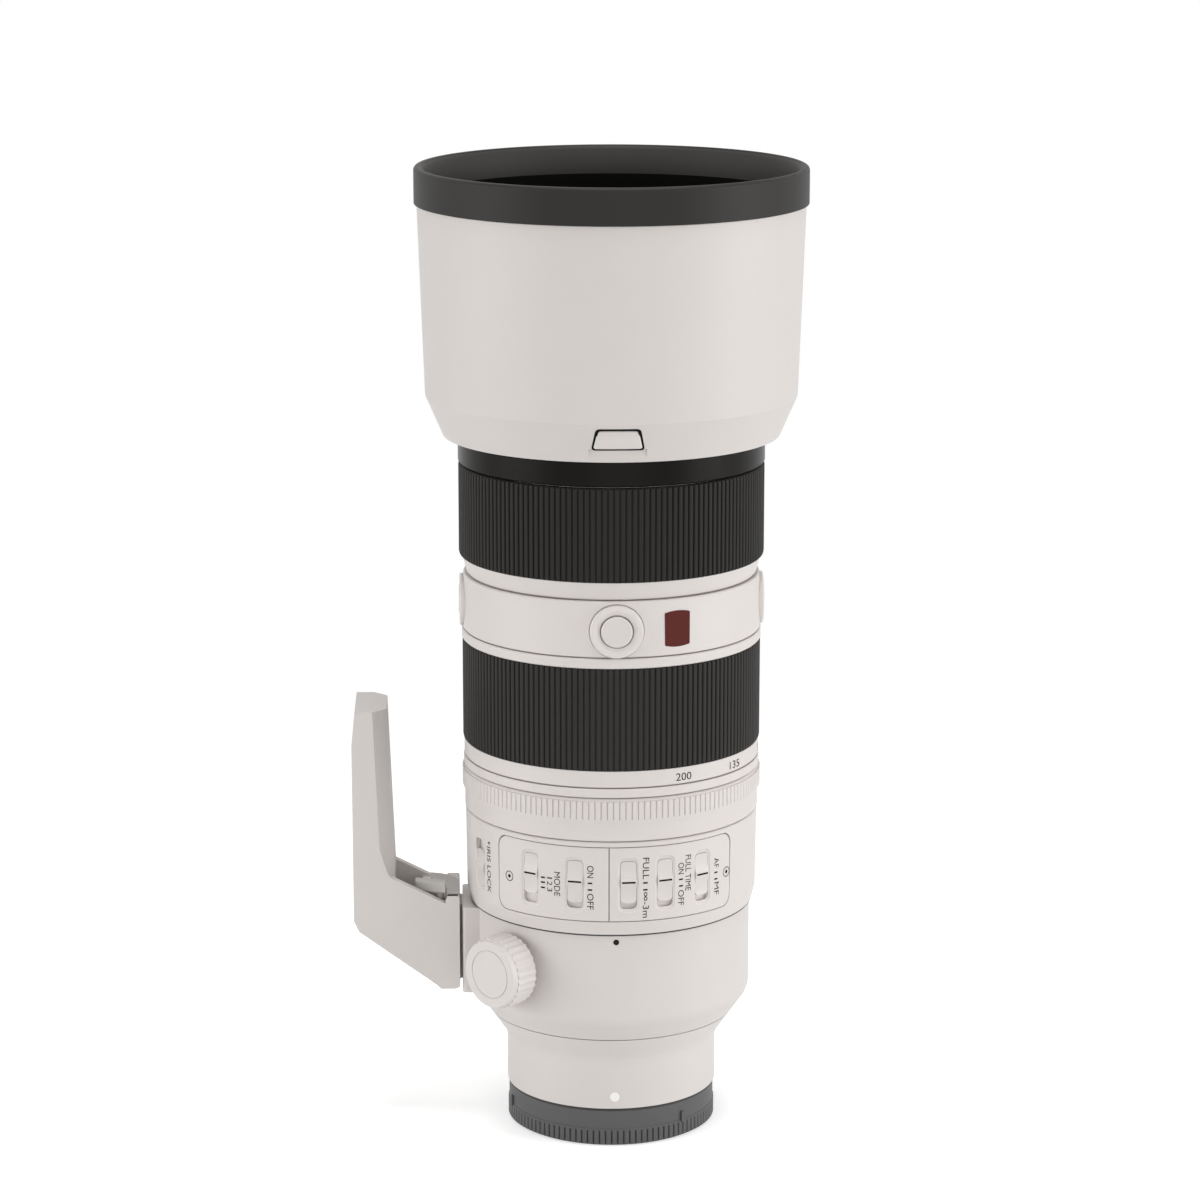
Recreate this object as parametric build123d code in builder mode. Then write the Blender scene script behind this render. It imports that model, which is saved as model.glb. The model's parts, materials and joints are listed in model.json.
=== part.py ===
from build123d import *
import os
from math import atan2, cos, degrees, pi, radians, sin, sqrt

os.makedirs("parts", exist_ok=True)

# A fast telephoto zoom lens that stands on its rear cap with its hood up. Millimetres.
# Z is the optical axis, from zero at the cap's underside towards the hood.
# The switch panel faces -Y and the tripod foot stands out along -X.
# An azimuth is in degrees about Z, from -Y towards +X.

# Fits and gaps that the whole lens shares
ring_gap = 0.3
running_fit = 0.1
axial_fit = 0.2
loose_fit = 0.3
overrun = 1.0

# Heights of the stations along the barrel, from the cap up
cap_height = 11.2
cap_lift = 0.1
seal_height = 0.3
rear_height = 22.6
collar_height = 33.0
housing_height = 27.6
aperture_height = 12.5
index_height = 2.6
zoom_height = 37.5
band_height = 16.0
focus_height = 32.0
front_height = 13.8

seal_z = cap_height + cap_lift
rear_z = seal_z + seal_height
rear_top = rear_z + rear_height
collar_z = rear_top + ring_gap
collar_top = collar_z + collar_height
housing_z = collar_top + ring_gap
housing_top = housing_z + housing_height
aperture_z = housing_top + ring_gap
aperture_top = aperture_z + aperture_height
index_z = aperture_top + ring_gap
index_top = index_z + index_height
zoom_z = index_top + ring_gap
zoom_top = zoom_z + zoom_height
band_z = zoom_top + ring_gap
band_top = band_z + band_height
focus_z = band_top + ring_gap
focus_top = focus_z + focus_height
front_z = focus_top + ring_gap
front_top = front_z + front_height

# Radii that several pieces share
tube_r = 38.0
tube_wall = 2.0
tube_ledge = 1.5
collar_seat_step = 0.7
collar_wall = 3.3
spigot_step = 3.5
spigot_wall = 2.5
spigot_depth = 5.2
rear_bore_step = 1.5
rear_wall = 3.7
cone_slope_share = 0.69
cone_foot_height = 14.8
tube_bore_r = tube_r - tube_wall
lower_bore_r = tube_bore_r - tube_ledge
collar_seat_r = tube_r - collar_seat_step
collar_r = collar_seat_r + collar_wall
spigot_r = lower_bore_r - spigot_step
spigot_bore_r = spigot_r - spigot_wall
rear_bore_r = spigot_bore_r - rear_bore_step
rear_r = rear_bore_r + rear_wall

# Azimuths that several pieces share
face_azimuth = 0.0
top_azimuth = 90.0
foot_azimuth = -90.0
back_azimuth = 180.0
full_turn = 360.0


def direction(azimuth):
    """The outward unit vector at an azimuth."""
    return (sin(radians(azimuth)), -cos(radians(azimuth)), 0)


def radial_plane(azimuth):
    """A plane through Z, its x outward and its y up."""
    out = direction(azimuth)
    return Plane(origin=(0, 0, 0), x_dir=out, z_dir=(out[1], -out[0], 0))


def face_plane(azimuth, radius, height):
    """A plane that faces outward at a radius, its y up."""
    out = direction(azimuth)
    centre = (radius * out[0], radius * out[1], height)
    return Plane(origin=centre, x_dir=(-out[1], out[0], 0), z_dir=out)


def side_plane(azimuth, offset, height):
    """A plane across the barrel's wall, its x up and its y outward."""
    out = direction(azimuth)
    along = (-out[1], out[0], 0)
    centre = (offset * along[0], offset * along[1], height)
    return Plane(origin=centre, x_dir=(0, 0, 1), z_dir=along)


def turned(outline, mode=Mode.ADD, start=top_azimuth, span=full_turn):
    """Turns a closed outline of (radius, height) or (radius, height, round) about Z."""
    with BuildSketch(radial_plane(start)) as section:
        with BuildLine():
            corners = [(point[0], point[1]) for point in outline]
            rounds = [point[2] if len(point) > 2 else 0 for point in outline]
            FilletPolyline(*corners, radius=rounds, close=True)
        make_face()
    revolve(section.sketch, axis=Axis.Z, revolution_arc=span, mode=mode)


def sector(inner, outer, low, high, start, span, mode=Mode.ADD):
    """A stretch of a square-edged ring, from an azimuth through a span."""
    turned([(inner, low), (outer, low), (outer, high), (inner, high)], mode, start, span)


def block(plane, width, height, depth, corner=0, mode=Mode.ADD, taper=0):
    """Extrudes a rectangle, rounded if it has a corner radius, along a plane's normal."""
    with BuildSketch(plane) as face:
        if corner > 0:
            RectangleRounded(width, height, corner)
        else:
            Rectangle(width, height)
    extrude(face.sketch, amount=depth, taper=taper, mode=mode)


def rod(plane, radius, depth, mode=Mode.ADD):
    """Extrudes a disc along a plane's normal."""
    with BuildSketch(plane) as face:
        Circle(radius)
    extrude(face.sketch, amount=depth, mode=mode)


def ribbed(inner, root, crest, low, high, count, land_share, mode=Mode.ADD):
    """A ring whose outside has narrow V grooves between flat-topped ribs."""
    pitch = full_turn / count
    outline = []
    for rib in range(count):
        middle = rib * pitch
        for radius, angle in (
            (crest, middle - pitch * land_share / 2),
            (crest, middle + pitch * land_share / 2),
            (root, middle + pitch / 2),
        ):
            out = direction(angle)
            outline.append((radius * out[0], radius * out[1]))
    with BuildSketch(Plane.XY.offset(low)) as face:
        with BuildLine():
            Polyline(*outline, close=True)
        make_face()
        Circle(inner, mode=Mode.SUBTRACT)
    extrude(face.sketch, amount=high - low, mode=mode)


def curved_plate(start, span, low, high, inner, outer, corner, rounded_ends):
    """A stretch of ring whose corners at the given azimuths are rounded."""
    with BuildPart() as plate:
        sector(inner, outer, low, high, start, span)
        for azimuth in rounded_ends:
            out = Vector(*direction(azimuth))
            ends = [
                edge
                for edge in plate.edges().filter_by(GeomType.LINE)
                if abs(abs((edge % 0).dot(out)) - 1) < parallel_limit_share
                and edge.center().dot(out) > inner
            ]
            fillet(ends, corner)
    return plate.part


parallel_limit_share = 0.0001


def lens_element(radius, low, high, low_rise, high_rise):
    """A round glass with domed faces; a rise is the face's centre above its edge."""

    def midway(edge, rise):
        ball = (radius**2 + rise**2) / (2 * rise)
        drop = ball - (1 if ball > 0 else -1) * sqrt(ball**2 - radius**2 / 4)
        return (radius / 2, edge + rise - drop)

    with BuildSketch(Plane.XZ) as section:
        with BuildLine():
            ThreePointArc((0, high + high_rise), midway(high, high_rise), (radius, high))
            Line((radius, high), (radius, low))
            ThreePointArc((radius, low), midway(low, low_rise), (0, low + low_rise))
            Line((0, low + low_rise), (0, high + high_rise))
        make_face()
    revolve(section.sketch, axis=Axis.Z)


# Mount end: bayonet, rear barrel and rear group

flange_inset = 1.9
flange_height = 1.9
flange_lift = 0.2
rear_floor_width = 4.0
bayonet_fit = 0.8
bayonet_wall = 1.6
bayonet_claw_reach = 1.4
bayonet_depth = 4.5
claw_height = 1.3
claw_span = 46.0
claw_count = 3
mount_screw_inset = 3.2
mount_screw_azimuths = (45.0, 135.0, 225.0, 315.0)
mount_screw_head_r = 1.6
mount_screw_head_depth = 0.9
mount_screw_r = 0.9
mount_screw_length = 4.4
flange_r = rear_r - flange_inset
rear_floor_bore_r = rear_bore_r - rear_floor_width
bayonet_tube_r = rear_floor_bore_r - bayonet_fit
bayonet_bore_r = bayonet_tube_r - bayonet_wall
bayonet_claw_r = bayonet_tube_r + bayonet_claw_reach
mount_screw_pitch_r = flange_r - mount_screw_inset
flange_z = seal_z + flange_lift
flange_top = flange_z + flange_height
claw_z = flange_z - bayonet_depth

with BuildPart() as mount_bayonet:
    turned(
        [
            (bayonet_bore_r, claw_z),
            (bayonet_tube_r, claw_z),
            (bayonet_tube_r, flange_z),
            (flange_r, flange_z),
            (flange_r, flange_top),
            (bayonet_bore_r, flange_top),
        ]
    )
    for claw in range(claw_count):
        middle = claw * full_turn / claw_count
        sector(
            (bayonet_bore_r + bayonet_tube_r) / 2,
            bayonet_claw_r,
            claw_z,
            claw_z + claw_height,
            middle - claw_span / 2,
            claw_span,
        )
    for azimuth in mount_screw_azimuths:
        out = direction(azimuth)
        spot = (mount_screw_pitch_r * out[0], mount_screw_pitch_r * out[1], flange_z)
        with Locations(Plane(origin=spot, z_dir=(0, 0, -1))):
            CounterBoreHole(mount_screw_r, mount_screw_head_r, mount_screw_head_depth, flange_height)
mount_bayonet.part.label = "mount_bayonet"
export_step(mount_bayonet.part, "parts/mount_bayonet.step")

with BuildPart() as mount_screws:
    for azimuth in mount_screw_azimuths:
        out = direction(azimuth)
        spot = (mount_screw_pitch_r * out[0], mount_screw_pitch_r * out[1], flange_z)
        rod(Plane(origin=spot), mount_screw_head_r, mount_screw_head_depth)
        rod(Plane(origin=spot), mount_screw_r, mount_screw_length)
mount_screws.part.label = "mount_screws"
export_step(mount_screws.part, "parts/mount_screws.step")

contact_depth = 4.0
contact_height = 2.6
contact_span = 96.0
contact_azimuth = 0.0
contact_count = 10
contact_pad_r = 0.75
contact_pad_height = 0.35
contact_floor = 1.2
contact_inner_r = bayonet_bore_r - contact_depth
contact_z = claw_z + contact_floor

with BuildPart() as contact_block:
    sector(
        contact_inner_r,
        bayonet_bore_r,
        contact_z,
        contact_z + contact_height,
        contact_azimuth - contact_span / 2,
        contact_span,
    )
    for pad in range(contact_count):
        azimuth = contact_azimuth + contact_span * ((pad + 1) / (contact_count + 1) - 1 / 2)
        out = direction(azimuth)
        reach = (contact_inner_r + bayonet_bore_r) / 2
        spot = (reach * out[0], reach * out[1], contact_z)
        rod(Plane(origin=spot, z_dir=(0, 0, -1)), contact_pad_r, contact_pad_height)
contact_block.part.label = "contact_block"
export_step(contact_block.part, "parts/contact_block.step")

seal_width = 1.4

with BuildPart() as mount_seal:
    turned(
        [
            (flange_r, seal_z + seal_height / 2),
            (flange_r + seal_width, seal_z),
            (flange_r + seal_width, rear_z),
            (flange_r, rear_z),
        ]
    )
mount_seal.part.label = "mount_seal"
export_step(mount_seal.part, "parts/mount_seal.step")

rear_floor_height = 3.1
rear_neck_round = 7.0
bead_r = 1.4
bead_height = 3.6
bead_depth = 1.2
bead_proud = 0.1
cone_foot_z = rear_z + cone_foot_height
rear_floor_top = flange_top + rear_floor_height
spigot_z = rear_top - spigot_depth


def cone_r(height):
    """The barrel's outer radius on the cone that widens towards the collar."""
    return rear_r + cone_slope_share * (height - cone_foot_z)


with BuildPart() as rear_barrel:
    turned(
        [
            (flange_r, rear_z),
            (rear_r, rear_z),
            (rear_r, cone_foot_z, rear_neck_round),
            (cone_r(rear_top), rear_top),
            (spigot_r, rear_top),
            (spigot_r, spigot_z),
            (rear_bore_r, spigot_z),
            (rear_bore_r, rear_floor_top),
            (rear_floor_bore_r, rear_floor_top),
            (rear_floor_bore_r, flange_top),
            (flange_r, flange_top),
        ]
    )
    for azimuth in mount_screw_azimuths:
        out = direction(azimuth)
        spot = (mount_screw_pitch_r * out[0], mount_screw_pitch_r * out[1], flange_top)
        depth = mount_screw_length - flange_height
        rod(Plane(origin=spot), mount_screw_r, depth, mode=Mode.SUBTRACT)
    bead_seat = face_plane(face_azimuth, rear_r - bead_depth, rear_z + bead_height)
    rod(bead_seat, bead_r, bead_depth + overrun, mode=Mode.SUBTRACT)
rear_barrel.part.label = "rear_barrel"
export_step(rear_barrel.part, "parts/rear_barrel.step")

with BuildPart() as index_bead:
    rod(bead_seat, bead_r, bead_depth + bead_proud)
index_bead.part.label = "index_bead"
export_step(index_bead.part, "parts/index_bead.step")

rear_cell_play = 1.0
rear_cell_wall = 3.5
rear_cell_height = 11.1
rear_cell_flange = 2.0
rear_element_lift = 0.8
rear_element_1_edge = 2.8
rear_element_gap = 1.4
rear_element_edge = 2.4
rear_element_rise = 1.8
rear_cell_nose_r = rear_floor_bore_r - rear_cell_play
rear_glass_r = rear_cell_nose_r - rear_cell_wall
rear_cell_top = flange_top + rear_cell_height
rear_element_low = flange_top + rear_element_lift
rear_element_high = rear_element_low + rear_element_1_edge

with BuildPart() as rear_cell:
    turned(
        [
            (rear_glass_r, flange_top),
            (rear_cell_nose_r, flange_top),
            (rear_cell_nose_r, rear_floor_top),
            (rear_bore_r, rear_floor_top),
            (rear_bore_r, rear_floor_top + rear_cell_flange),
            (rear_cell_nose_r, rear_floor_top + rear_cell_flange),
            (rear_cell_nose_r, rear_cell_top),
            (rear_glass_r, rear_cell_top),
        ]
    )
rear_cell.part.label = "rear_cell"
export_step(rear_cell.part, "parts/rear_cell.step")

rear_element_2_low = rear_element_high + rear_element_gap

with BuildPart() as rear_glass:
    lens_element(
        rear_glass_r,
        rear_element_low,
        rear_element_high,
        -rear_element_rise / 2,
        -rear_element_rise / 3,
    )
    lens_element(
        rear_glass_r,
        rear_element_2_low,
        rear_element_2_low + rear_element_edge,
        -rear_element_rise / 4,
        rear_element_rise,
    )
rear_glass.part.label = "rear_glass"
export_step(rear_glass.part, "parts/rear_glass.step")

board_thickness = 1.0
chip_size = 5.2
chip_height = 1.1
chip_azimuths = (20.0, 75.0, 150.0, 235.0, 300.0)
board_z = rear_floor_top + rear_cell_flange

with BuildPart() as main_board:
    with BuildSketch(Plane.XY.offset(board_z)) as board_face:
        Circle(rear_bore_r)
        Circle(rear_cell_nose_r, mode=Mode.SUBTRACT)
    extrude(board_face.sketch, amount=board_thickness)
    for azimuth in chip_azimuths:
        reach = (rear_bore_r + rear_cell_nose_r) / 2
        stand = face_plane(azimuth, reach, board_z + board_thickness + chip_height / 2)
        depth = (rear_bore_r - rear_cell_nose_r) / 3
        block(stand, chip_size, chip_height, depth)
main_board.part.label = "main_board"
export_step(main_board.part, "parts/main_board.step")

# Main tube that every ring turns on or is fixed to

web_lift = 4.0
web_height = 2.5
ledge_lift = 18.2
tube_top_depth = 8.6
web_z = collar_z + web_lift
web_top = web_z + web_height
ledge_z = housing_z + ledge_lift
tube_top = front_top - tube_top_depth
seat_top = (collar_top + housing_z) / 2

# Zoom drive: throw, the two groups' strokes and the pins and slots that guide them
zoom_throw = 64.0
variator_stroke = 26.0
compensator_stroke = 16.0
guide_wall = 1.6
cam_wall = 1.8
pin_r = 1.5
pin_azimuths = (30.0, 150.0, 270.0)
drive_pin_r = 2.0
drive_pin_lift = 18.6
drive_pin_grip = 2.4
cam_fit = 0.15
guide_floor = 2.0
cam_end_gap = 0.3
variator_pin_drop = 21.0
compensator_pin_lift = 12.0
cell_fit = 0.1
cam_outer_r = tube_bore_r - running_fit
cam_inner_r = cam_outer_r - cam_wall
guide_outer_r = cam_inner_r - running_fit
guide_inner_r = guide_outer_r - guide_wall
guide_top_drop = 25.6
guide_low = ledge_z + guide_floor
guide_top = front_top - guide_top_drop
variator_pin_z = guide_top - variator_pin_drop
compensator_pin_z = guide_low + compensator_pin_lift
drive_pin_z = zoom_z + drive_pin_lift
drive_pin_tip = tube_r + running_fit + drive_pin_grip

with BuildPart() as main_tube:
    turned(
        [
            (spigot_bore_r, spigot_z),
            (spigot_r, spigot_z),
            (spigot_r, web_z),
            (collar_seat_r, web_z),
            (collar_seat_r, seat_top),
            (tube_r, seat_top),
            (tube_r, tube_top),
            (tube_bore_r, tube_top),
            (tube_bore_r, ledge_z),
            (lower_bore_r, ledge_z),
            (lower_bore_r, web_top),
            (spigot_bore_r, web_top),
        ]
    )
    slot_margin = degrees((drive_pin_r + loose_fit) / tube_bore_r)
    sector(
        tube_bore_r - overrun,
        tube_r + overrun,
        drive_pin_z - drive_pin_r - loose_fit,
        drive_pin_z + drive_pin_r + loose_fit,
        back_azimuth - slot_margin,
        zoom_throw + slot_margin * 2,
        mode=Mode.SUBTRACT,
    )
main_tube.part.label = "main_tube"
export_step(main_tube.part, "parts/main_tube.step")

with BuildPart() as guide_tube:
    turned(
        [
            (lower_bore_r - guide_floor * 4, ledge_z),
            (tube_bore_r, ledge_z),
            (tube_bore_r, guide_low),
            (guide_outer_r, guide_low),
            (guide_outer_r, guide_top),
            (guide_inner_r, guide_top),
            (guide_inner_r, guide_low),
            (lower_bore_r - guide_floor * 4, guide_low),
        ]
    )
    slot_width = (pin_r + running_fit) * 2
    for azimuth in pin_azimuths:
        for low, stroke in (
            (variator_pin_z - variator_stroke, variator_stroke),
            (compensator_pin_z, compensator_stroke),
        ):
            with BuildSketch(face_plane(azimuth, guide_inner_r - overrun, low + stroke / 2)) as slot_face:
                SlotCenterToCenter(stroke, slot_width, rotation=90)
            extrude(slot_face.sketch, amount=guide_wall + overrun * 2, mode=Mode.SUBTRACT)
guide_tube.part.label = "guide_tube"
export_step(guide_tube.part, "parts/guide_tube.step")


def cam_slot(low, stroke, left_handed, start_azimuth):
    """Cuts a helical slot, as a pin at a steady rate of stroke to turn would sweep it."""
    middle_r = (cam_inner_r + cam_outer_r) / 2
    reach = cam_wall + overrun * 2
    width = (pin_r + cam_fit) * 2
    pitch = stroke * full_turn / zoom_throw
    turn = -90 + start_azimuth
    with BuildLine() as path:
        Helix(pitch, stroke, middle_r, center=(0, 0, low), lefthand=left_handed)
    rail = path.line
    with BuildSketch(Plane(origin=rail @ 0, x_dir=(1, 0, 0), z_dir=rail % 0)) as section:
        Rectangle(reach, width)
    swept = Rot(0, 0, turn) * sweep(section.sketch, path=rail, is_frenet=True, mode=Mode.PRIVATE)
    add(swept, mode=Mode.SUBTRACT)
    end_turn = -zoom_throw if left_handed else zoom_throw
    for azimuth, height in ((start_azimuth, low), (start_azimuth + end_turn, low + stroke)):
        end = face_plane(azimuth, middle_r - reach / 2, height)
        rod(end, pin_r + cam_fit, reach, mode=Mode.SUBTRACT)


with BuildPart() as cam_tube:
    turned(
        [
            (cam_inner_r, guide_low + cam_end_gap),
            (cam_outer_r, guide_low + cam_end_gap),
            (cam_outer_r, guide_top - cam_end_gap),
            (cam_inner_r, guide_top - cam_end_gap),
        ]
    )
    for azimuth in pin_azimuths:
        cam_slot(variator_pin_z - variator_stroke, variator_stroke, False, azimuth - zoom_throw)
        cam_slot(compensator_pin_z, compensator_stroke, True, azimuth)
    pin_root = (cam_inner_r + cam_outer_r) / 2
    rod(face_plane(back_azimuth, pin_root, drive_pin_z), drive_pin_r, drive_pin_tip - pin_root)
cam_tube.part.label = "cam_tube"
export_step(cam_tube.part, "parts/cam_tube.step")

cell_r = guide_inner_r - cell_fit
pin_tip_r = cam_outer_r - loose_fit


def group_cell(glass_r, low, high, pin_z):
    """A zoom group's cell: a sleeve that slides in the guide tube, with three pins."""
    wall = cell_wall
    turned(
        [
            (glass_r, low + wall),
            (cell_r - wall, low + wall),
            (cell_r - wall, low),
            (cell_r, low),
            (cell_r, high),
            (cell_r - wall, high),
            (cell_r - wall, high - wall),
            (glass_r, high - wall),
        ]
    )
    for azimuth in pin_azimuths:
        root = cell_r - wall / 2
        rod(face_plane(azimuth, root, pin_z), pin_r, pin_tip_r - root)


cell_wall = 1.8
variator_rim = 8.3
variator_half_height = 10.0
variator_rise = 2.6
compensator_rim = 10.3
compensator_half_height = 8.0
compensator_rise = 2.2
element_gap_share = 0.16

variator_glass_r = cell_r - variator_rim
compensator_glass_r = cell_r - compensator_rim
variator_low = variator_pin_z - variator_half_height
variator_high = variator_pin_z + variator_half_height
compensator_low = compensator_pin_z - compensator_half_height
compensator_high = compensator_pin_z + compensator_half_height

with BuildPart() as variator_cell:
    group_cell(variator_glass_r, variator_low, variator_high, variator_pin_z)
variator_cell.part.label = "variator_cell"
export_step(variator_cell.part, "parts/variator_cell.step")

with BuildPart() as variator_glass:
    split_gap = variator_half_height * element_gap_share
    lens_element(
        variator_glass_r,
        variator_low + cell_wall,
        variator_pin_z - split_gap,
        -variator_rise / 3,
        -variator_rise / 2,
    )
    lens_element(
        variator_glass_r,
        variator_pin_z + split_gap,
        variator_high - cell_wall,
        variator_rise / 4,
        -variator_rise / 2,
    )
variator_glass.part.label = "variator_glass"
export_step(variator_glass.part, "parts/variator_glass.step")

with BuildPart() as compensator_cell:
    group_cell(compensator_glass_r, compensator_low, compensator_high, compensator_pin_z)
compensator_cell.part.label = "compensator_cell"
export_step(compensator_cell.part, "parts/compensator_cell.step")

with BuildPart() as compensator_glass:
    split_gap = compensator_half_height * element_gap_share
    lens_element(
        compensator_glass_r,
        compensator_low + cell_wall,
        compensator_pin_z - split_gap,
        compensator_rise / 3,
        compensator_rise / 3,
    )
    lens_element(
        compensator_glass_r,
        compensator_pin_z + split_gap,
        compensator_high - cell_wall,
        -compensator_rise / 4,
        compensator_rise,
    )
compensator_glass.part.label = "compensator_glass"
export_step(compensator_glass.part, "parts/compensator_glass.step")

# Stabiliser: a base, a cross-slide that moves along X and a carrier that moves on it along Y

stabiliser_height = 11.0
stabiliser_wall = 3.5
stabiliser_floor = 2.5
stabiliser_floor_width = 15.5
slide_inset = 3.0
slide_width = 1.6
slide_length = 9.0
slide_height = 1.2
slide_fit = 0.05
slide_play = 0.1
plate_height = 2.4
plate_play = 3.0
plate_width = 5.5
shift_stroke = 1.0
shift_rim = 3.0
shift_cell_wall = 1.6
shift_cell_height = 5.6
shift_rise = 1.4
stabiliser_bore_r = lower_bore_r - stabiliser_floor_width
plate_r = lower_bore_r - stabiliser_wall - plate_play
slide_reach = plate_r - slide_inset
plate_bore_r = plate_r - plate_width
shift_glass_r = plate_bore_r - shift_rim
stabiliser_top = web_top + stabiliser_height
slide_z = web_top + stabiliser_floor
cross_z = slide_z + slide_play
cross_top = cross_z + plate_height
carrier_z = cross_top + slide_play
carrier_top = carrier_z + shift_cell_height

focus_rod_r = 1.0
focus_rod_inset = 2.7
focus_rod_seat = 2.0
focus_rod_azimuths = (top_azimuth, foot_azimuth)
iris_drop = 8.0
focus_rod_reach = lower_bore_r - focus_rod_inset
iris_z = ledge_z - iris_drop


def rod_base(azimuth, height):
    """Where a focus rod's axis meets a height."""
    out = direction(azimuth)
    return Plane(origin=(focus_rod_reach * out[0], focus_rod_reach * out[1], height))


def rail(x, y, low, along_x, mode=Mode.ADD, fit=0, play=0):
    """A straight slide rail, or with a fit the groove that runs on it."""
    length = slide_length + (shift_stroke + overrun) * 2 if mode == Mode.SUBTRACT else slide_length
    width = slide_width + fit * 2
    span = (length, width) if along_x else (width, length)
    block(Plane(origin=(x, y, low)), span[0], span[1], slide_height + play, mode=mode)


with BuildPart() as stabiliser_base:
    turned(
        [
            (stabiliser_bore_r, web_top),
            (lower_bore_r, web_top),
            (lower_bore_r, stabiliser_top),
            (lower_bore_r - stabiliser_wall, stabiliser_top),
            (lower_bore_r - stabiliser_wall, slide_z),
            (stabiliser_bore_r, slide_z),
        ]
    )
    for side in (-1, 1):
        rail(0, side * slide_reach, slide_z, True)
    for azimuth in focus_rod_azimuths:
        seat = rod_base(azimuth, stabiliser_top - focus_rod_seat)
        rod(seat, focus_rod_r, focus_rod_seat + overrun, mode=Mode.SUBTRACT)
stabiliser_base.part.label = "stabiliser_base"
export_step(stabiliser_base.part, "parts/stabiliser_base.step")

with BuildPart() as stabiliser_slide:
    with BuildSketch(Plane.XY.offset(cross_z)) as plate_face:
        Circle(plate_r)
        Circle(plate_bore_r, mode=Mode.SUBTRACT)
    extrude(plate_face.sketch, amount=plate_height)
    for side in (-1, 1):
        rail(0, side * slide_reach, slide_z, True, Mode.SUBTRACT, slide_fit, slide_play)
        rail(side * slide_reach, 0, cross_top, False)
stabiliser_slide.part.label = "stabiliser_slide"
export_step(stabiliser_slide.part, "parts/stabiliser_slide.step")

with BuildPart() as stabiliser_cell:
    with BuildSketch(Plane.XY.offset(carrier_z)) as plate_face:
        Circle(plate_r)
        Circle(shift_glass_r, mode=Mode.SUBTRACT)
    extrude(plate_face.sketch, amount=plate_height)
    with BuildSketch(Plane.XY.offset(carrier_z)) as tube_face:
        Circle(shift_glass_r + shift_cell_wall)
        Circle(shift_glass_r, mode=Mode.SUBTRACT)
    extrude(tube_face.sketch, amount=shift_cell_height)
    for side in (-1, 1):
        rail(side * slide_reach, 0, cross_top, False, Mode.SUBTRACT, slide_fit, slide_play)
stabiliser_cell.part.label = "stabiliser_cell"
export_step(stabiliser_cell.part, "parts/stabiliser_cell.step")

with BuildPart() as stabiliser_glass:
    lens_element(shift_glass_r, carrier_z + shift_rise, carrier_top - shift_rise, -shift_rise / 2, shift_rise)
stabiliser_glass.part.label = "stabiliser_glass"
export_step(stabiliser_glass.part, "parts/stabiliser_glass.step")

# Focus group on its two rods, driven along the axis by a linear motor

focus_stroke = 10.0
focus_cell_play = 1.4
focus_rim = 9.5
focus_cell_height = 7.4
focus_sleeve_r = 2.4
focus_sleeve_height = 8.0
focus_rest_gap = 0.3
focus_rise = 1.8
focus_cell_lift = 1.0
focus_web = 2.2
focus_cell_r = focus_rod_reach - focus_sleeve_r - focus_cell_play
focus_glass_r = focus_cell_r - focus_rim
focus_low = stabiliser_top + focus_rest_gap
focus_cell_low = focus_low + focus_cell_lift
focus_cell_high = focus_cell_low + focus_cell_height

with BuildPart() as focus_rods:
    for azimuth in focus_rod_azimuths:
        low = stabiliser_top - focus_rod_seat
        rod(rod_base(azimuth, low), focus_rod_r, iris_z + focus_rod_seat / 2 - low)
focus_rods.part.label = "focus_rods"
export_step(focus_rods.part, "parts/focus_rods.step")

with BuildPart() as focus_cell:
    turned(
        [
            (focus_glass_r, focus_cell_low),
            (focus_glass_r + focus_web, focus_cell_low),
            (focus_glass_r + focus_web, focus_cell_high - focus_web),
            (focus_cell_r, focus_cell_high - focus_web),
            (focus_cell_r, focus_cell_high),
            (focus_glass_r, focus_cell_high),
        ]
    )
    for azimuth in focus_rod_azimuths:
        low = rod_base(azimuth, focus_low)
        rod(low, focus_sleeve_r, focus_sleeve_height)
        bridge = focus_rod_reach - focus_cell_r + overrun
        arm = face_plane(azimuth, focus_cell_r - overrun, focus_cell_high - focus_web / 2)
        block(arm, focus_sleeve_r * 2, focus_web, bridge)
        rod(low, focus_rod_r + slide_fit, focus_cell_height + focus_sleeve_height, mode=Mode.SUBTRACT)
focus_cell.part.label = "focus_cell"
export_step(focus_cell.part, "parts/focus_cell.step")

with BuildPart() as focus_glass:
    lens_element(
        focus_glass_r,
        focus_cell_low + focus_rise,
        focus_cell_high - focus_rise,
        -focus_rise / 2,
        focus_rise / 2,
    )
focus_glass.part.label = "focus_glass"
export_step(focus_glass.part, "parts/focus_glass.step")

# Iris: a housing below the guide tube and eleven blades fanned out at full opening

iris_plate = 2.0
iris_floor_width = 10.5
iris_wall = 3.0
blade_count = 11
blade_thickness = 0.2
blade_pitch = 0.25
blade_inset = 0.4
blade_play = 0.9
blade_span = 74.0
blade_lift = 0.3
iris_bore_r = lower_bore_r - iris_floor_width
blade_inner_r = iris_bore_r + blade_inset
blade_outer_r = lower_bore_r - iris_wall - blade_play

with BuildPart() as iris_housing:
    turned(
        [
            (iris_bore_r, iris_z),
            (lower_bore_r, iris_z),
            (lower_bore_r, ledge_z),
            (lower_bore_r - iris_wall, ledge_z),
            (lower_bore_r - iris_wall, iris_z + iris_plate),
            (iris_bore_r, iris_z + iris_plate),
        ]
    )
    for azimuth in focus_rod_azimuths:
        rod(rod_base(azimuth, iris_z), focus_rod_r, focus_rod_seat / 2, mode=Mode.SUBTRACT)
iris_housing.part.label = "iris_housing"
export_step(iris_housing.part, "parts/iris_housing.step")

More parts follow.
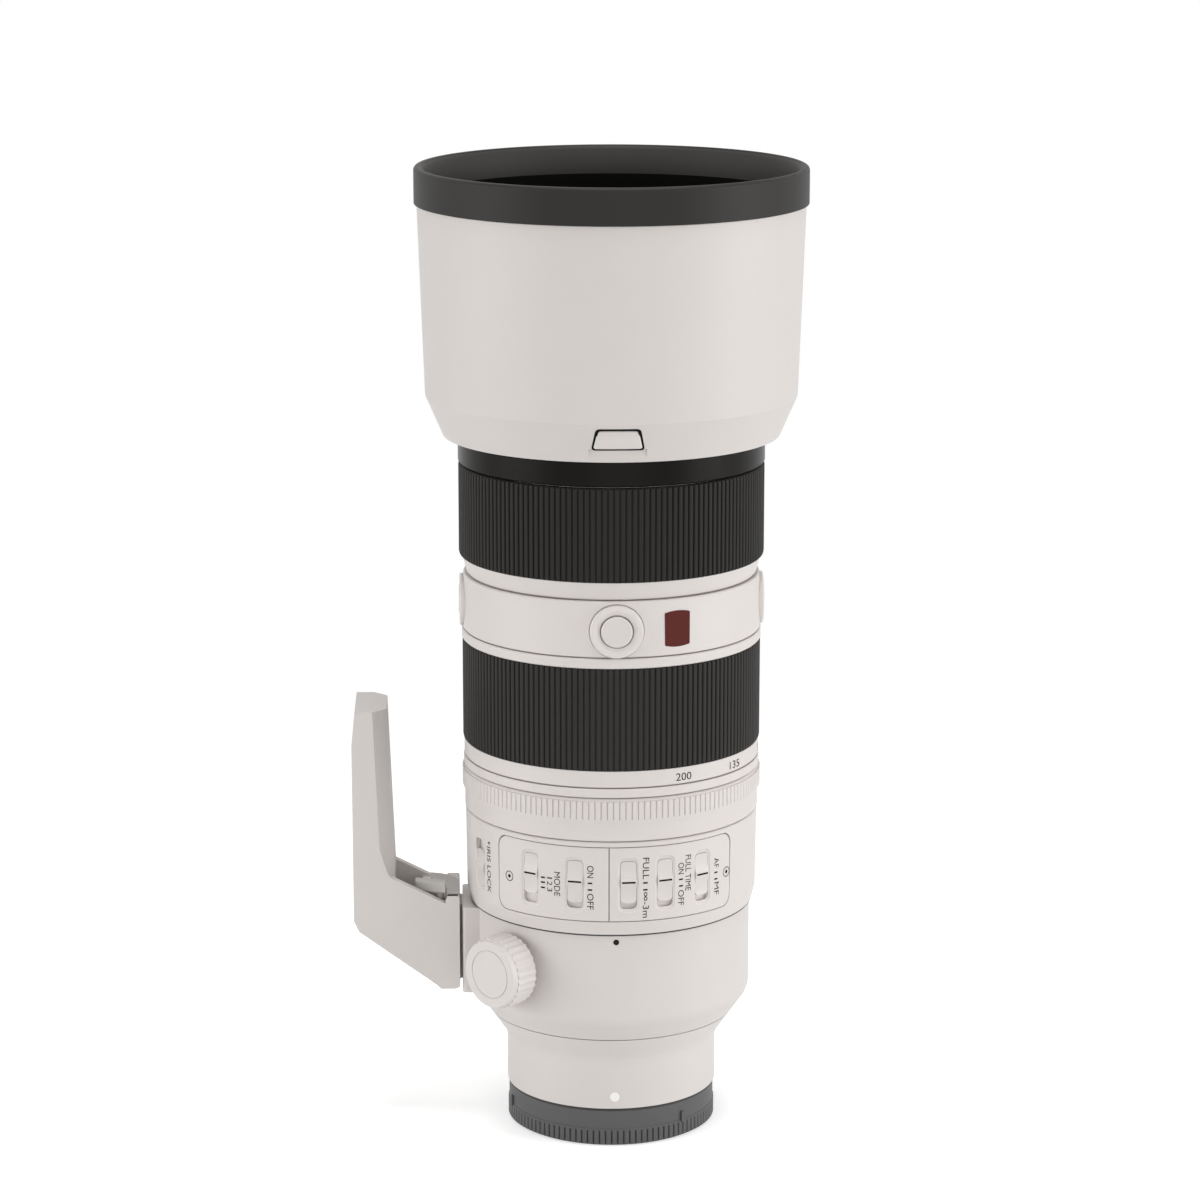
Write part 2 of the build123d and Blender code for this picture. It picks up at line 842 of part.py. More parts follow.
with BuildPart() as iris_blades:
    for blade in range(blade_count):
        low = iris_z + iris_plate + blade_lift + blade * blade_pitch
        start = blade * full_turn / blade_count
        sector(blade_inner_r, blade_outer_r, low, low + blade_thickness, start, blade_span)
iris_blades.part.label = "iris_blades"
export_step(iris_blades.part, "parts/iris_blades.step")

# Switch housing with its two curved plates and six sliders

housing_wall = 4.25
housing_foot_step = 0.95
housing_swell = 0.3
housing_foot_height = 3.7
housing_foot_round = 5.0
housing_edge = 0.3
plate_low_lift = 4.3
plate_high_drop = 1.7
plate_start = -51.2
plate_end = 51.2
plate_seam = -2.85
plate_thickness = 1.25
plate_proud = 0.1
plate_gap = 0.3
plate_corner = 3.4
housing_mid_r = tube_r + housing_wall
housing_low_r = housing_mid_r - housing_foot_step
housing_high_r = housing_mid_r + housing_swell
plate_low = housing_z + plate_low_lift
plate_high = housing_top - plate_high_drop
plate_outer_r = housing_mid_r + plate_proud
plate_inner_r = plate_outer_r - plate_thickness
plate_gap_angle = degrees(plate_gap / plate_outer_r)

slot_width_mm = 4.8
slot_corner = 1.3
slot_rim_margin = 0.75
slot_rim_height = 2.2
slot_rim_swell = 0.8
slot_rim_depth = 0.35
slot_rim_taper = 55.0
slot_low_lift = 7.8
slider_fit = 0.1
slider_length = 12.2
mode_slider_length = 11.6
lock_slider_length = 10.8
slider_travel = 1.7
mode_slider_travel = 2.9
lock_slider_travel = 3.2
slider_corner = 1.2
slider_sink = 0.15
slider_scoop = 0.3
slider_ridge = 0.35
slider_ridge_half = 1.15
slider_ridge_flat = 0.55
slider_base_lap = 0.8
slider_base_cover = 0.2
slider_base_thickness = 1.3
slider_base_play = 0.15
pocket_margin = 0.3
screw_azimuths = (-45.45, 49.2)
screw_lift = 14.3
screw_r = 1.25
screw_line = 0.2
screw_depth = 0.25
screw_socket_r = 0.4
slot_rim_width = slot_width_mm + slot_rim_margin * 2
slot_rim_corner = slot_corner + slot_rim_swell
slider_base_width = slot_width_mm + slider_base_lap * 2
slider_r = plate_outer_r - slider_sink
slider_base_r = plate_inner_r - slider_base_play
slot_low = housing_z + slot_low_lift

# Each switch: its name, its azimuth, its slider's length and travel, and whether it rests at the top
switches = (
    ("iris_lock_slider", -65.5, lock_slider_length, lock_slider_travel, False),
    ("mode_slider", -35.0, mode_slider_length, mode_slider_travel, True),
    ("stabiliser_slider", -16.2, slider_length, slider_travel, True),
    ("range_slider", 4.7, slider_length, slider_travel, True),
    ("override_slider", 19.3, slider_length, slider_travel, True),
    ("focus_mode_slider", 35.8, slider_length, slider_travel, True),
)


def slot_height(length, travel):
    """A slot holds the slider, its travel and a fit at each end."""
    return length + travel + slider_fit * 2


def cut_switch(azimuth, length, travel):
    """Cuts a switch's slot and its sloped rim through the outer skin."""
    height = slot_height(length, travel)
    outside = plate_outer_r + overrun
    middle = slot_low + height / 2
    block(
        face_plane(azimuth, outside, middle),
        slot_width_mm,
        height,
        -(outside - plate_inner_r + overrun / 2),
        slot_corner,
        mode=Mode.SUBTRACT,
    )
    block(
        face_plane(azimuth, plate_outer_r, middle),
        slot_rim_width,
        height + slot_rim_height,
        -slot_rim_depth,
        slot_rim_corner,
        mode=Mode.SUBTRACT,
        taper=slot_rim_taper,
    )


def cut_pocket(azimuth, length, travel):
    """Hollows the housing behind a slot for the slider's base."""
    height = slot_height(length, travel) + (travel + slider_base_cover + pocket_margin) * 2
    block(
        face_plane(azimuth, plate_inner_r, slot_low + slot_height(length, travel) / 2),
        slider_base_width + pocket_margin * 2,
        height,
        -(plate_inner_r - tube_r + overrun),
        mode=Mode.SUBTRACT,
    )


def cut_screw(azimuth):
    """A small screw let into a plate: the line around its head and its socket."""
    seat = face_plane(azimuth, plate_outer_r - screw_depth, housing_z + screw_lift)
    with BuildSketch(seat) as marks:
        Circle(screw_r + screw_line)
        Circle(screw_r, mode=Mode.SUBTRACT)
        Circle(screw_socket_r)
    extrude(marks.sketch, amount=screw_depth + overrun, mode=Mode.SUBTRACT)


recess = curved_plate(
    plate_start - plate_gap_angle,
    plate_end - plate_start + plate_gap_angle * 2,
    plate_low - plate_gap,
    plate_high + plate_gap,
    plate_inner_r,
    plate_outer_r + overrun,
    plate_corner,
    (plate_start - plate_gap_angle, plate_end + plate_gap_angle),
)

with BuildPart() as switch_housing:
    turned(
        [
            (tube_r, housing_z),
            (housing_low_r, housing_z),
            (housing_mid_r, housing_z + housing_foot_height, housing_foot_round),
            (housing_high_r, housing_top - housing_edge),
            (housing_high_r - housing_edge, housing_top),
            (tube_r, housing_top),
        ]
    )
    add(recess, mode=Mode.SUBTRACT)
    for name, azimuth, length, travel, at_top in switches:
        cut_pocket(azimuth, length, travel)
        if azimuth < plate_start:
            cut_switch(azimuth, length, travel)
switch_housing.part.label = "switch_housing"
export_step(switch_housing.part, "parts/switch_housing.step")

seam_gap_angle = plate_gap_angle / 2

left_blank = curved_plate(
    plate_start,
    plate_seam - seam_gap_angle - plate_start,
    plate_low,
    plate_high,
    plate_inner_r,
    plate_outer_r,
    plate_corner,
    (plate_start,),
)
right_blank = curved_plate(
    plate_seam + seam_gap_angle,
    plate_end - plate_seam - seam_gap_angle,
    plate_low,
    plate_high,
    plate_inner_r,
    plate_outer_r,
    plate_corner,
    (plate_end,),
)

with BuildPart() as switch_plate_left:
    add(left_blank)
    for name, azimuth, length, travel, at_top in switches:
        if plate_start < azimuth < plate_seam:
            cut_switch(azimuth, length, travel)
    cut_screw(screw_azimuths[0])
switch_plate_left.part.label = "switch_plate_left"
export_step(switch_plate_left.part, "parts/switch_plate_left.step")

with BuildPart() as switch_plate_right:
    add(right_blank)
    for name, azimuth, length, travel, at_top in switches:
        if azimuth > plate_seam:
            cut_switch(azimuth, length, travel)
    cut_screw(screw_azimuths[1])
switch_plate_right.part.label = "switch_plate_right"
export_step(switch_plate_right.part, "parts/switch_plate_right.step")

for name, azimuth, length, travel, at_top in switches:
    half = length / 2
    middle = slot_low + slider_fit + half + (travel if at_top else 0)
    with BuildPart() as slider:
        with BuildSketch(side_plane(azimuth, -slot_width_mm / 2 + slider_fit, middle)) as side:
            with BuildLine():
                Polyline(
                    (-slider_ridge_half, slider_r),
                    (-slider_ridge_flat, slider_r + slider_ridge),
                    (slider_ridge_flat, slider_r + slider_ridge),
                    (slider_ridge_half, slider_r),
                )
                ThreePointArc(
                    (slider_ridge_half, slider_r),
                    ((slider_ridge_half + half) / 2, slider_r - slider_scoop),
                    (half, slider_r),
                )
                Polyline((half, slider_r), (half, slider_base_r), (-half, slider_base_r), (-half, slider_r))
                ThreePointArc(
                    (-half, slider_r),
                    (-(slider_ridge_half + half) / 2, slider_r - slider_scoop),
                    (-slider_ridge_half, slider_r),
                )
            make_face()
        extrude(side.sketch, amount=slot_width_mm - slider_fit * 2)
        block(
            face_plane(azimuth, slider_base_r - overrun / 2, middle),
            slot_width_mm - slider_fit * 2,
            length,
            slider_r + slider_ridge - slider_base_r + overrun,
            slider_corner,
            mode=Mode.INTERSECT,
        )
        block(
            face_plane(azimuth, slider_base_r, middle),
            slider_base_width,
            length + (travel + slider_base_cover) * 2,
            -slider_base_thickness,
        )
    slider.part.label = name
    export_step(slider.part, "parts/" + name + ".step")

# Aperture ring, fixed index ring, zoom ring and its rubber

aperture_wall = 4.7
aperture_flare = 0.15
aperture_rib_proud = 0.55
aperture_rib_depth = 0.4
aperture_rib_drop = 0.8
aperture_rib_length = 5.2
aperture_flare_height = 1.9
aperture_edge = 0.3
aperture_ribs = 155
rib_land_share = 0.72
aperture_low_r = tube_r + aperture_wall
aperture_mid_r = aperture_low_r + aperture_flare
aperture_rib_r = aperture_mid_r + aperture_rib_proud
aperture_rib_high = aperture_height - aperture_rib_drop
aperture_rib_low = aperture_rib_high - aperture_rib_length
aperture_flare_low = aperture_rib_low - aperture_flare_height

with BuildPart() as aperture_ring:
    turned(
        [
            (tube_r + running_fit, aperture_z),
            (aperture_low_r - aperture_edge, aperture_z),
            (aperture_low_r, aperture_z + aperture_edge),
            (aperture_low_r, aperture_z + aperture_flare_low),
            (aperture_mid_r, aperture_z + aperture_rib_low),
            (aperture_mid_r, aperture_top - aperture_edge),
            (aperture_mid_r - aperture_edge, aperture_top),
            (tube_r + running_fit, aperture_top),
        ]
    )
    ribbed(
        aperture_low_r - aperture_rib_depth * 2,
        aperture_rib_r - aperture_rib_depth,
        aperture_rib_r,
        aperture_z + aperture_rib_low,
        aperture_z + aperture_rib_high,
        aperture_ribs,
        rib_land_share,
    )
aperture_ring.part.label = "aperture_ring"
export_step(aperture_ring.part, "parts/aperture_ring.step")

index_wall = 5.0
index_edge = 0.25
index_r = tube_r + index_wall

with BuildPart() as index_ring:
    turned(
        [
            (tube_r, index_z),
            (index_r - index_edge, index_z),
            (index_r, index_z + index_edge),
            (index_r, index_top - index_edge),
            (index_r - index_edge, index_top),
            (tube_r, index_top),
        ]
    )
index_ring.part.label = "index_ring"
export_step(index_ring.part, "parts/index_ring.step")

scale_wall = 4.8
scale_height = 4.8
zoom_seat_step = 1.3
zoom_rubber_thickness = 1.65
zoom_lip_step = 0.5
zoom_lip_height = 2.9
zoom_edge = 0.3
zoom_ribs = 161
rubber_rib_depth = 0.6
rubber_gap = 0.05
scale_r = tube_r + scale_wall
zoom_seat_r = scale_r - zoom_seat_step
zoom_rubber_r = zoom_seat_r + zoom_rubber_thickness
zoom_lip_r = scale_r + zoom_lip_step
zoom_rubber_z = zoom_z + scale_height
zoom_rubber_top = zoom_top - zoom_lip_height

with BuildPart() as zoom_sleeve:
    turned(
        [
            (tube_r + running_fit, zoom_z),
            (scale_r - zoom_edge, zoom_z),
            (scale_r, zoom_z + zoom_edge),
            (scale_r, zoom_rubber_z),
            (zoom_seat_r, zoom_rubber_z),
            (zoom_seat_r, zoom_rubber_top),
            (zoom_lip_r - zoom_edge, zoom_rubber_top),
            (zoom_lip_r, zoom_rubber_top + zoom_edge),
            (zoom_lip_r, zoom_top - zoom_edge),
            (zoom_lip_r - zoom_edge, zoom_top),
            (tube_r + running_fit, zoom_top),
        ]
    )
    pin_hole = face_plane(back_azimuth, tube_r - overrun, drive_pin_z)
    rod(pin_hole, drive_pin_r, drive_pin_tip - tube_r + overrun, mode=Mode.SUBTRACT)
zoom_sleeve.part.label = "zoom_sleeve"
export_step(zoom_sleeve.part, "parts/zoom_sleeve.step")

with BuildPart() as zoom_rubber:
    ribbed(
        zoom_seat_r,
        zoom_rubber_r - rubber_rib_depth,
        zoom_rubber_r,
        zoom_rubber_z + rubber_gap,
        zoom_rubber_top - rubber_gap,
        zoom_ribs,
        rib_land_share,
    )
zoom_rubber.part.label = "zoom_rubber"
export_step(zoom_rubber.part, "parts/zoom_rubber.step")

# Fixed button band with three hold buttons and the badge inlay

band_wall = 5.1
band_taper = 0.3
band_edge = 0.3
button_drop = 0.5
bezel_margin = 0.4
bezel_bore_r = 4.75
bezel_sink = 1.5
bezel_height = 2.3
bezel_round = 0.6
bezel_bevel = 1.3
bezel_bevel_depth = 0.6
bezel_gap = 0.2
button_fit = 0.3
button_proud = 0.2
button_edge = 0.35
button_flange_lap = 0.85
button_flange = 1.1
button_flange_gap = 0.1
button_stroke = 0.7
button_pocket_fit = 0.3
button_pocket_gap = 0.4
badge_azimuth = 23.5
badge_width = 7.7
badge_height = 10.4
badge_bow = 0.55
badge_drop = 0.5
badge_corner = 0.4
badge_depth = 0.8
badge_proud = 0.15
band_low_r = tube_r + band_wall
band_high_r = band_low_r - band_taper
bezel_r = band_height / 2 - bezel_margin
bezel_seat_r = band_low_r - bezel_sink
bezel_face_r = bezel_seat_r + bezel_height
button_r = bezel_bore_r - button_fit
button_face_r = bezel_face_r + button_proud
button_flange_r = button_r + button_flange_lap
button_pocket_r = button_flange_r + button_pocket_fit
button_z = band_z + band_height / 2 - button_drop
button_top_r = bezel_seat_r - button_flange_gap
button_low_r = button_top_r - button_flange
pocket_floor_r = button_low_r - button_stroke - button_pocket_gap
button_azimuths = (face_azimuth, top_azimuth, foot_azimuth)
badge_z = band_z + band_height / 2 - badge_drop
badge_seat = face_plane(badge_azimuth, band_high_r - badge_depth, badge_z)


def badge_block(height, mode=Mode.ADD):
    """The badge's outline, bowed at its top and bottom, raised from its seat."""
    half = badge_width / 2
    side = badge_height / 2 - badge_bow
    with BuildSketch(badge_seat) as outline:
        with BuildLine():
            Line((-half, -side), (-half, side))
            ThreePointArc((-half, side), (0, badge_height / 2), (half, side))
            Line((half, side), (half, -side))
            ThreePointArc((half, -side), (0, -badge_height / 2), (-half, -side))
        make_face()
        fillet(outline.vertices(), badge_corner)
    extrude(outline.sketch, amount=height, mode=mode)


with BuildPart() as button_band:
    turned(
        [
            (tube_r, band_z),
            (band_low_r - band_edge, band_z),
            (band_low_r, band_z + band_edge),
            (band_high_r, band_top - band_edge),
            (band_high_r - band_edge, band_top),
            (tube_r, band_top),
        ]
    )
    for azimuth in button_azimuths:
        seat = face_plane(azimuth, bezel_seat_r, button_z)
        rod(seat, bezel_r + bezel_gap, overrun * 3, mode=Mode.SUBTRACT)
        pocket = face_plane(azimuth, pocket_floor_r, button_z)
        rod(pocket, button_pocket_r, bezel_seat_r - pocket_floor_r + overrun, mode=Mode.SUBTRACT)
    badge_block(badge_depth + overrun, mode=Mode.SUBTRACT)
button_band.part.label = "button_band"
export_step(button_band.part, "parts/button_band.step")

with BuildPart() as badge_plate:
    badge_block(badge_depth + badge_proud)
badge_plate.part.label = "badge_plate"
export_step(badge_plate.part, "parts/badge_plate.step")

with BuildPart() as button_bezels:
    for azimuth in button_azimuths:
        seat = face_plane(azimuth, bezel_seat_r, button_z)
        rod(seat, bezel_r, bezel_face_r - bezel_seat_r)
        out = Vector(*direction(azimuth))
        rims = [
            edge
            for edge in button_bezels.edges().filter_by(GeomType.CIRCLE)
            if abs(edge.arc_center.dot(out) - bezel_face_r) < parallel_limit_share
        ]
        fillet(rims, bezel_round)
    for azimuth in button_azimuths:
        hole = face_plane(azimuth, bezel_seat_r - overrun, button_z)
        rod(hole, bezel_bore_r, bezel_face_r - bezel_seat_r + overrun * 2, mode=Mode.SUBTRACT)
        with BuildSketch(face_plane(azimuth, bezel_face_r, button_z)) as mouth:
            Circle(bezel_bore_r + bezel_bevel)
        slope = degrees(atan2(bezel_bevel, bezel_bevel_depth))
        extrude(mouth.sketch, amount=-bezel_bevel_depth, taper=slope, mode=Mode.SUBTRACT)
button_bezels.part.label = "button_bezels"
export_step(button_bezels.part, "parts/button_bezels.step")

for name, azimuth in (
    ("hold_button_side", face_azimuth),
    ("hold_button_top", top_azimuth),
    ("hold_button_bottom", foot_azimuth),
):
    with BuildPart() as hold_button:
        rod(face_plane(azimuth, button_low_r, button_z), button_flange_r, button_flange)
        rod(face_plane(azimuth, button_top_r, button_z), button_r, button_face_r - button_top_r)
        out = Vector(*direction(azimuth))
        rims = [
            edge
            for edge in hold_button.edges().filter_by(GeomType.CIRCLE)
            if abs(edge.arc_center.dot(out) - button_face_r) < parallel_limit_share
        ]
        chamfer(rims, button_edge)
    hold_button.part.label = name
    export_step(hold_button.part, "parts/" + name + ".step")

# Focus ring and its rubber

flare_wall = 3.9
flare_step = 1.2
flare_height = 5.1
focus_seat_step = 0.9
focus_rubber_thickness = 1.8
focus_rubber_drop = 0.1
focus_edge = 0.3
focus_ribs = 165
flare_low_r = tube_r + flare_wall
flare_high_r = flare_low_r + flare_step
focus_seat_r = flare_high_r - focus_seat_step
focus_rubber_r = focus_seat_r + focus_rubber_thickness
focus_rubber_z = focus_z + flare_height

with BuildPart() as focus_sleeve:
    turned(
        [
            (tube_r + running_fit, focus_z),
            (flare_low_r - focus_edge, focus_z),
            (flare_low_r, focus_z + focus_edge),
            (flare_high_r, focus_rubber_z),
            (focus_seat_r, focus_rubber_z),
            (focus_seat_r, focus_top),
            (tube_r + running_fit, focus_top),
        ]
    )
focus_sleeve.part.label = "focus_sleeve"
export_step(focus_sleeve.part, "parts/focus_sleeve.step")

with BuildPart() as focus_rubber:
    ribbed(
        focus_seat_r,
        focus_rubber_r - rubber_rib_depth,
        focus_rubber_r,
        focus_rubber_z + rubber_gap,
        focus_top - focus_rubber_drop,
        focus_ribs,
        rib_land_share,
    )
focus_rubber.part.label = "focus_rubber"
export_step(focus_rubber.part, "parts/focus_rubber.step")

# Front ring with the hood bayonet, and the front group

front_step = 0.9
front_edge = 0.4
hood_seat_height = 6.1
groove_depth = 1.6
groove_height = 2.2
groove_drop = 2.5
thread_wall = 3.5
thread_step = 2.1
thread_length = 4.2
hood_lug_count = 4
hood_lug_span = 16.0
hood_entry_span = 21.0
hood_lock_angle = 55.0
hood_lug_azimuth = 20.0
front_cell_wall = 2.0
front_cell_lip_width = 3.0
front_cell_lip = 5.4
front_element_edge = 6.2
front_element_rise = 4.0
front_element_2_edge = 3.4
front_element_2_rise = 1.6
front_element_gap = 0.6
retainer_height = 3.6
retainer_slope = 1.4
retainer_lip_lift = 0.6
front_lip_r = tube_bore_r
thread_r = front_lip_r + thread_step
groove_r = thread_r + thread_wall
hood_seat_r = groove_r + groove_depth
front_r = hood_seat_r + front_step
front_cell_bore_r = tube_bore_r - front_cell_wall
front_cell_lip_r = front_cell_bore_r - front_cell_lip_width
hood_seat_z = front_top - hood_seat_height
groove_top = front_top - groove_drop
groove_z = groove_top - groove_height
thread_z = front_top - thread_length

with BuildPart() as front_ring:
    turned(
        [
            (tube_r, front_z),
            (front_r - front_edge, front_z),
            (front_r, front_z + front_edge),
            (front_r, hood_seat_z - front_edge),
            (front_r - front_edge, hood_seat_z),
            (hood_seat_r, hood_seat_z),
            (hood_seat_r, groove_z),
            (groove_r, groove_z),
            (groove_r, groove_top),
            (hood_seat_r, groove_top),
            (hood_seat_r, front_top),
            (thread_r, front_top),
            (thread_r, thread_z),
            (front_lip_r, thread_z),
            (front_lip_r, tube_top),
            (tube_r, tube_top),
        ]
    )
    for lug in range(hood_lug_count):
        entry = hood_lug_azimuth + hood_lock_angle + lug * full_turn / hood_lug_count
        sector(
            groove_r - running_fit,
            hood_seat_r + overrun,
            (groove_z + groove_top) / 2,
            front_top + overrun,
            entry - hood_entry_span / 2,
            hood_entry_span,
            mode=Mode.SUBTRACT,
        )
front_ring.part.label = "front_ring"
export_step(front_ring.part, "parts/front_ring.step")

front_element_z = tube_top - front_element_edge
front_element_2_z = front_element_z - front_element_gap - front_element_2_edge

with BuildPart() as front_cell:
    turned(
        [
            (front_cell_lip_r, guide_top),
            (tube_bore_r, guide_top),
            (tube_bore_r, tube_top),
            (front_cell_bore_r, tube_top),
            (front_cell_bore_r, guide_top + front_cell_lip),
            (front_cell_lip_r, guide_top + front_cell_lip),
        ]
    )
front_cell.part.label = "front_cell"
export_step(front_cell.part, "parts/front_cell.step")

with BuildPart() as front_glass:
    lens_element(front_cell_bore_r, front_element_z, tube_top, front_element_rise / 8, front_element_rise)
    lens_element(
        front_cell_bore_r,
        front_element_2_z,
        front_element_2_z + front_element_2_edge,
        -front_element_2_rise,
        -front_element_2_rise / 4,
    )
front_glass.part.label = "front_glass"
export_step(front_glass.part, "parts/front_glass.step")

with BuildPart() as front_retainer:
    turned(
        [
            (front_cell_bore_r, tube_top),
            (front_lip_r, tube_top),
            (front_lip_r, tube_top + retainer_height),
            (front_lip_r - retainer_slope / 2, tube_top + retainer_height),
            (front_cell_bore_r - retainer_slope, tube_top + retainer_lip_lift * 2),
            (front_cell_bore_r - retainer_slope, tube_top + retainer_lip_lift),
            (front_cell_bore_r, tube_top + retainer_lip_lift),
        ]
    )
front_retainer.part.label = "front_retainer"
export_step(front_retainer.part, "parts/front_retainer.step")

# Hood: shell, rubber bumper and the sprung release button

hood_fit = 0.3
hood_base_wall = 4.9
hood_flare = 4.9
hood_spread = 1.9
hood_crease_height = 11.3
hood_shell_height = 65.8
hood_wall = 2.0
hood_lip_depth = 2.5
hood_lip_height = 1.4
hood_floor_step = 3.1
hood_lug_play = 0.2
bumper_height = 10.5
bumper_swell = 0.8
bumper_cover = 2.5
bumper_round_share = 0.39
bumper_gap = 0.2
tongue_share = 0.45
tongue_inset_share = 0.375
hood_z = hood_seat_z + axial_fit
hood_crease_z = hood_z + hood_crease_height
hood_shell_top = hood_z + hood_shell_height
hood_top = hood_shell_top + bumper_height
hood_bore_r = hood_seat_r + hood_fit
hood_low_r = hood_bore_r + hood_base_wall
hood_crease_r = hood_low_r + hood_flare
hood_high_r = hood_crease_r + hood_spread
hood_inner_r = hood_high_r - hood_wall
hood_lip_r = hood_bore_r - hood_lip_depth
hood_floor_r = hood_bore_r + hood_floor_step
hood_lip_z = front_top + hood_fit
hood_lug_height = groove_height - hood_lug_play * 2
bumper_r = hood_high_r + bumper_swell
bumper_round = (bumper_r - hood_inner_r) * bumper_round_share
bumper_tongue = hood_wall * tongue_share
bumper_tongue_r = hood_inner_r + hood_wall * tongue_inset_share
bumper_tongue_height = bumper_height - bumper_cover

hood_button_lift = 3.5
hood_button_head = 1.2
hood_button_low_half = 7.4
hood_button_lean = 1.2
hood_button_gap = 0.6
hood_button_proud = 0.55
hood_button_corner = 1.2
hood_button_depth = 1.8
hood_button_stroke = 1.0
hood_recess_play = 0.4
hood_button_crease_share = 0.42
hood_button_bevel = 0.35
hood_scoop_height = 2.3
hood_scoop_depth = 0.6
hood_scoop_span = 18.6
hood_button_height = hood_crease_height - hood_button_lift - hood_button_head
hood_button_high_half = hood_button_low_half - hood_button_lean
hood_button_z = hood_z + hood_button_lift
hood_scoop_z = hood_button_z - hood_scoop_height
hood_button_top = hood_button_z + hood_button_height


def hood_outer_r(height):
    """The hood's outer radius on its lower, steeper cone."""
    share = (height - hood_z) / hood_crease_height
    return hood_low_r + (hood_crease_r - hood_low_r) * share


def button_outline(inset):
    """The release button's trapezium, narrower towards the hood's mouth."""
    return (
        (-hood_button_low_half + inset, hood_button_z + inset),
        (hood_button_low_half - inset, hood_button_z + inset),
        (hood_button_high_half - inset, hood_button_top - inset),
        (-hood_button_high_half + inset, hood_button_top - inset),
    )


def hood_ring(inset, outset):
    """A conical ring along the hood's lower cone, from below its skin to above it."""
    return [
        (hood_outer_r(hood_z) - inset, hood_z),
        (hood_outer_r(hood_z) + outset, hood_z),
        (hood_outer_r(hood_crease_z) + outset, hood_crease_z),
        (hood_outer_r(hood_crease_z) - inset, hood_crease_z),
    ]


with BuildPart() as button_recess:
    with BuildSketch(Plane.XZ.offset(hood_bore_r)) as recess_face:
        with BuildLine():
            FilletPolyline(*button_outline(0), radius=hood_button_corner, close=True)
        make_face()
    extrude(recess_face.sketch, amount=hood_crease_r - hood_bore_r + overrun)
    turned(
        hood_ring(hood_button_depth + hood_button_stroke + hood_recess_play, overrun),
        mode=Mode.INTERSECT,
    )

with BuildPart() as hood_shell:
    turned(
        [
            (hood_bore_r, hood_z),
            (hood_low_r, hood_z),
            (hood_crease_r, hood_crease_z),
            (hood_high_r, hood_shell_top),
            (bumper_tongue_r + bumper_tongue, hood_shell_top),
            (bumper_tongue_r + bumper_tongue, hood_shell_top + bumper_tongue_height),
            (bumper_tongue_r, hood_shell_top + bumper_tongue_height),
            (bumper_tongue_r, hood_shell_top),
            (hood_inner_r, hood_shell_top),
            (hood_crease_r - hood_wall, hood_crease_z + hood_wall),
            (hood_floor_r, hood_lip_z + hood_lip_height),
            (hood_lip_r, hood_lip_z + hood_lip_height),
            (hood_lip_r, hood_lip_z),
            (hood_bore_r, hood_lip_z),
        ]
    )
    for lug in range(hood_lug_count):
        middle = hood_lug_azimuth + lug * full_turn / hood_lug_count
        sector(
            groove_r + hood_fit,
            hood_bore_r + hood_fit,
            groove_z + hood_lug_play,
            groove_z + hood_lug_play + hood_lug_height,
            middle - hood_lug_span / 2,
            hood_lug_span,
        )
    add(button_recess.part, mode=Mode.SUBTRACT)
    turned(
        [
            (hood_outer_r(hood_button_z) - hood_scoop_depth, hood_button_z),
            (hood_outer_r(hood_scoop_z), hood_scoop_z),
            (hood_outer_r(hood_scoop_z) + overrun, hood_scoop_z),
            (hood_outer_r(hood_button_z) + overrun, hood_button_z + overrun / 2),
            (hood_outer_r(hood_button_z) - hood_scoop_depth, hood_button_z + overrun / 2),
        ],
        mode=Mode.SUBTRACT,
        start=-hood_scoop_span / 2,
        span=hood_scoop_span,
    )
hood_shell.part.label = "hood_shell"
export_step(hood_shell.part, "parts/hood_shell.step")

with BuildPart() as hood_bumper:
    turned(
        [
            (hood_inner_r, hood_shell_top + bumper_gap),
            (bumper_tongue_r, hood_shell_top + bumper_gap),
            (bumper_tongue_r, hood_shell_top + bumper_tongue_height),
            (bumper_tongue_r + bumper_tongue, hood_shell_top + bumper_tongue_height),
            (bumper_tongue_r + bumper_tongue, hood_shell_top + bumper_gap),
            (bumper_r, hood_shell_top + bumper_gap),
            (bumper_r, hood_top, bumper_round),
            (hood_inner_r + bumper_round, hood_top, bumper_round / 2),
            (hood_inner_r, hood_top - bumper_round),
        ]
    )
hood_bumper.part.label = "hood_bumper"
export_step(hood_bumper.part, "parts/hood_bumper.step")

with BuildPart() as hood_button:
    with BuildSketch(Plane.XZ.offset(hood_bore_r)) as button_face:
        with BuildLine():
            FilletPolyline(
                *button_outline(hood_button_gap), radius=hood_button_corner - hood_button_gap, close=True
            )
        make_face()
    extrude(button_face.sketch, amount=hood_crease_r - hood_bore_r + overrun)
    turned(hood_ring(hood_button_depth, hood_button_proud), mode=Mode.INTERSECT)
    crease_z = hood_button_top - hood_button_height * hood_button_crease_share
    turned(
        [
            (hood_outer_r(crease_z) + hood_button_proud, crease_z),
            (hood_outer_r(crease_z) + overrun * 3, crease_z),
            (hood_outer_r(crease_z) + overrun * 3, hood_button_top),
            (hood_outer_r(crease_z) + hood_button_proud, hood_button_top),
        ],
        mode=Mode.SUBTRACT,
    )
    outer_faces = hood_button.faces().sort_by(Axis.Y)[:2]
    rims = [
        edge
        for face in outer_faces
        for edge in face.edges()
        if abs(edge.center().Z - crease_z) > hood_button_bevel
    ]
    chamfer(rims, hood_button_bevel)
hood_button.part.label = "hood_button"
export_step(hood_button.part, "parts/hood_button.step")

# Tripod collar: a turning ring with the foot's base and the clamp knob's boss

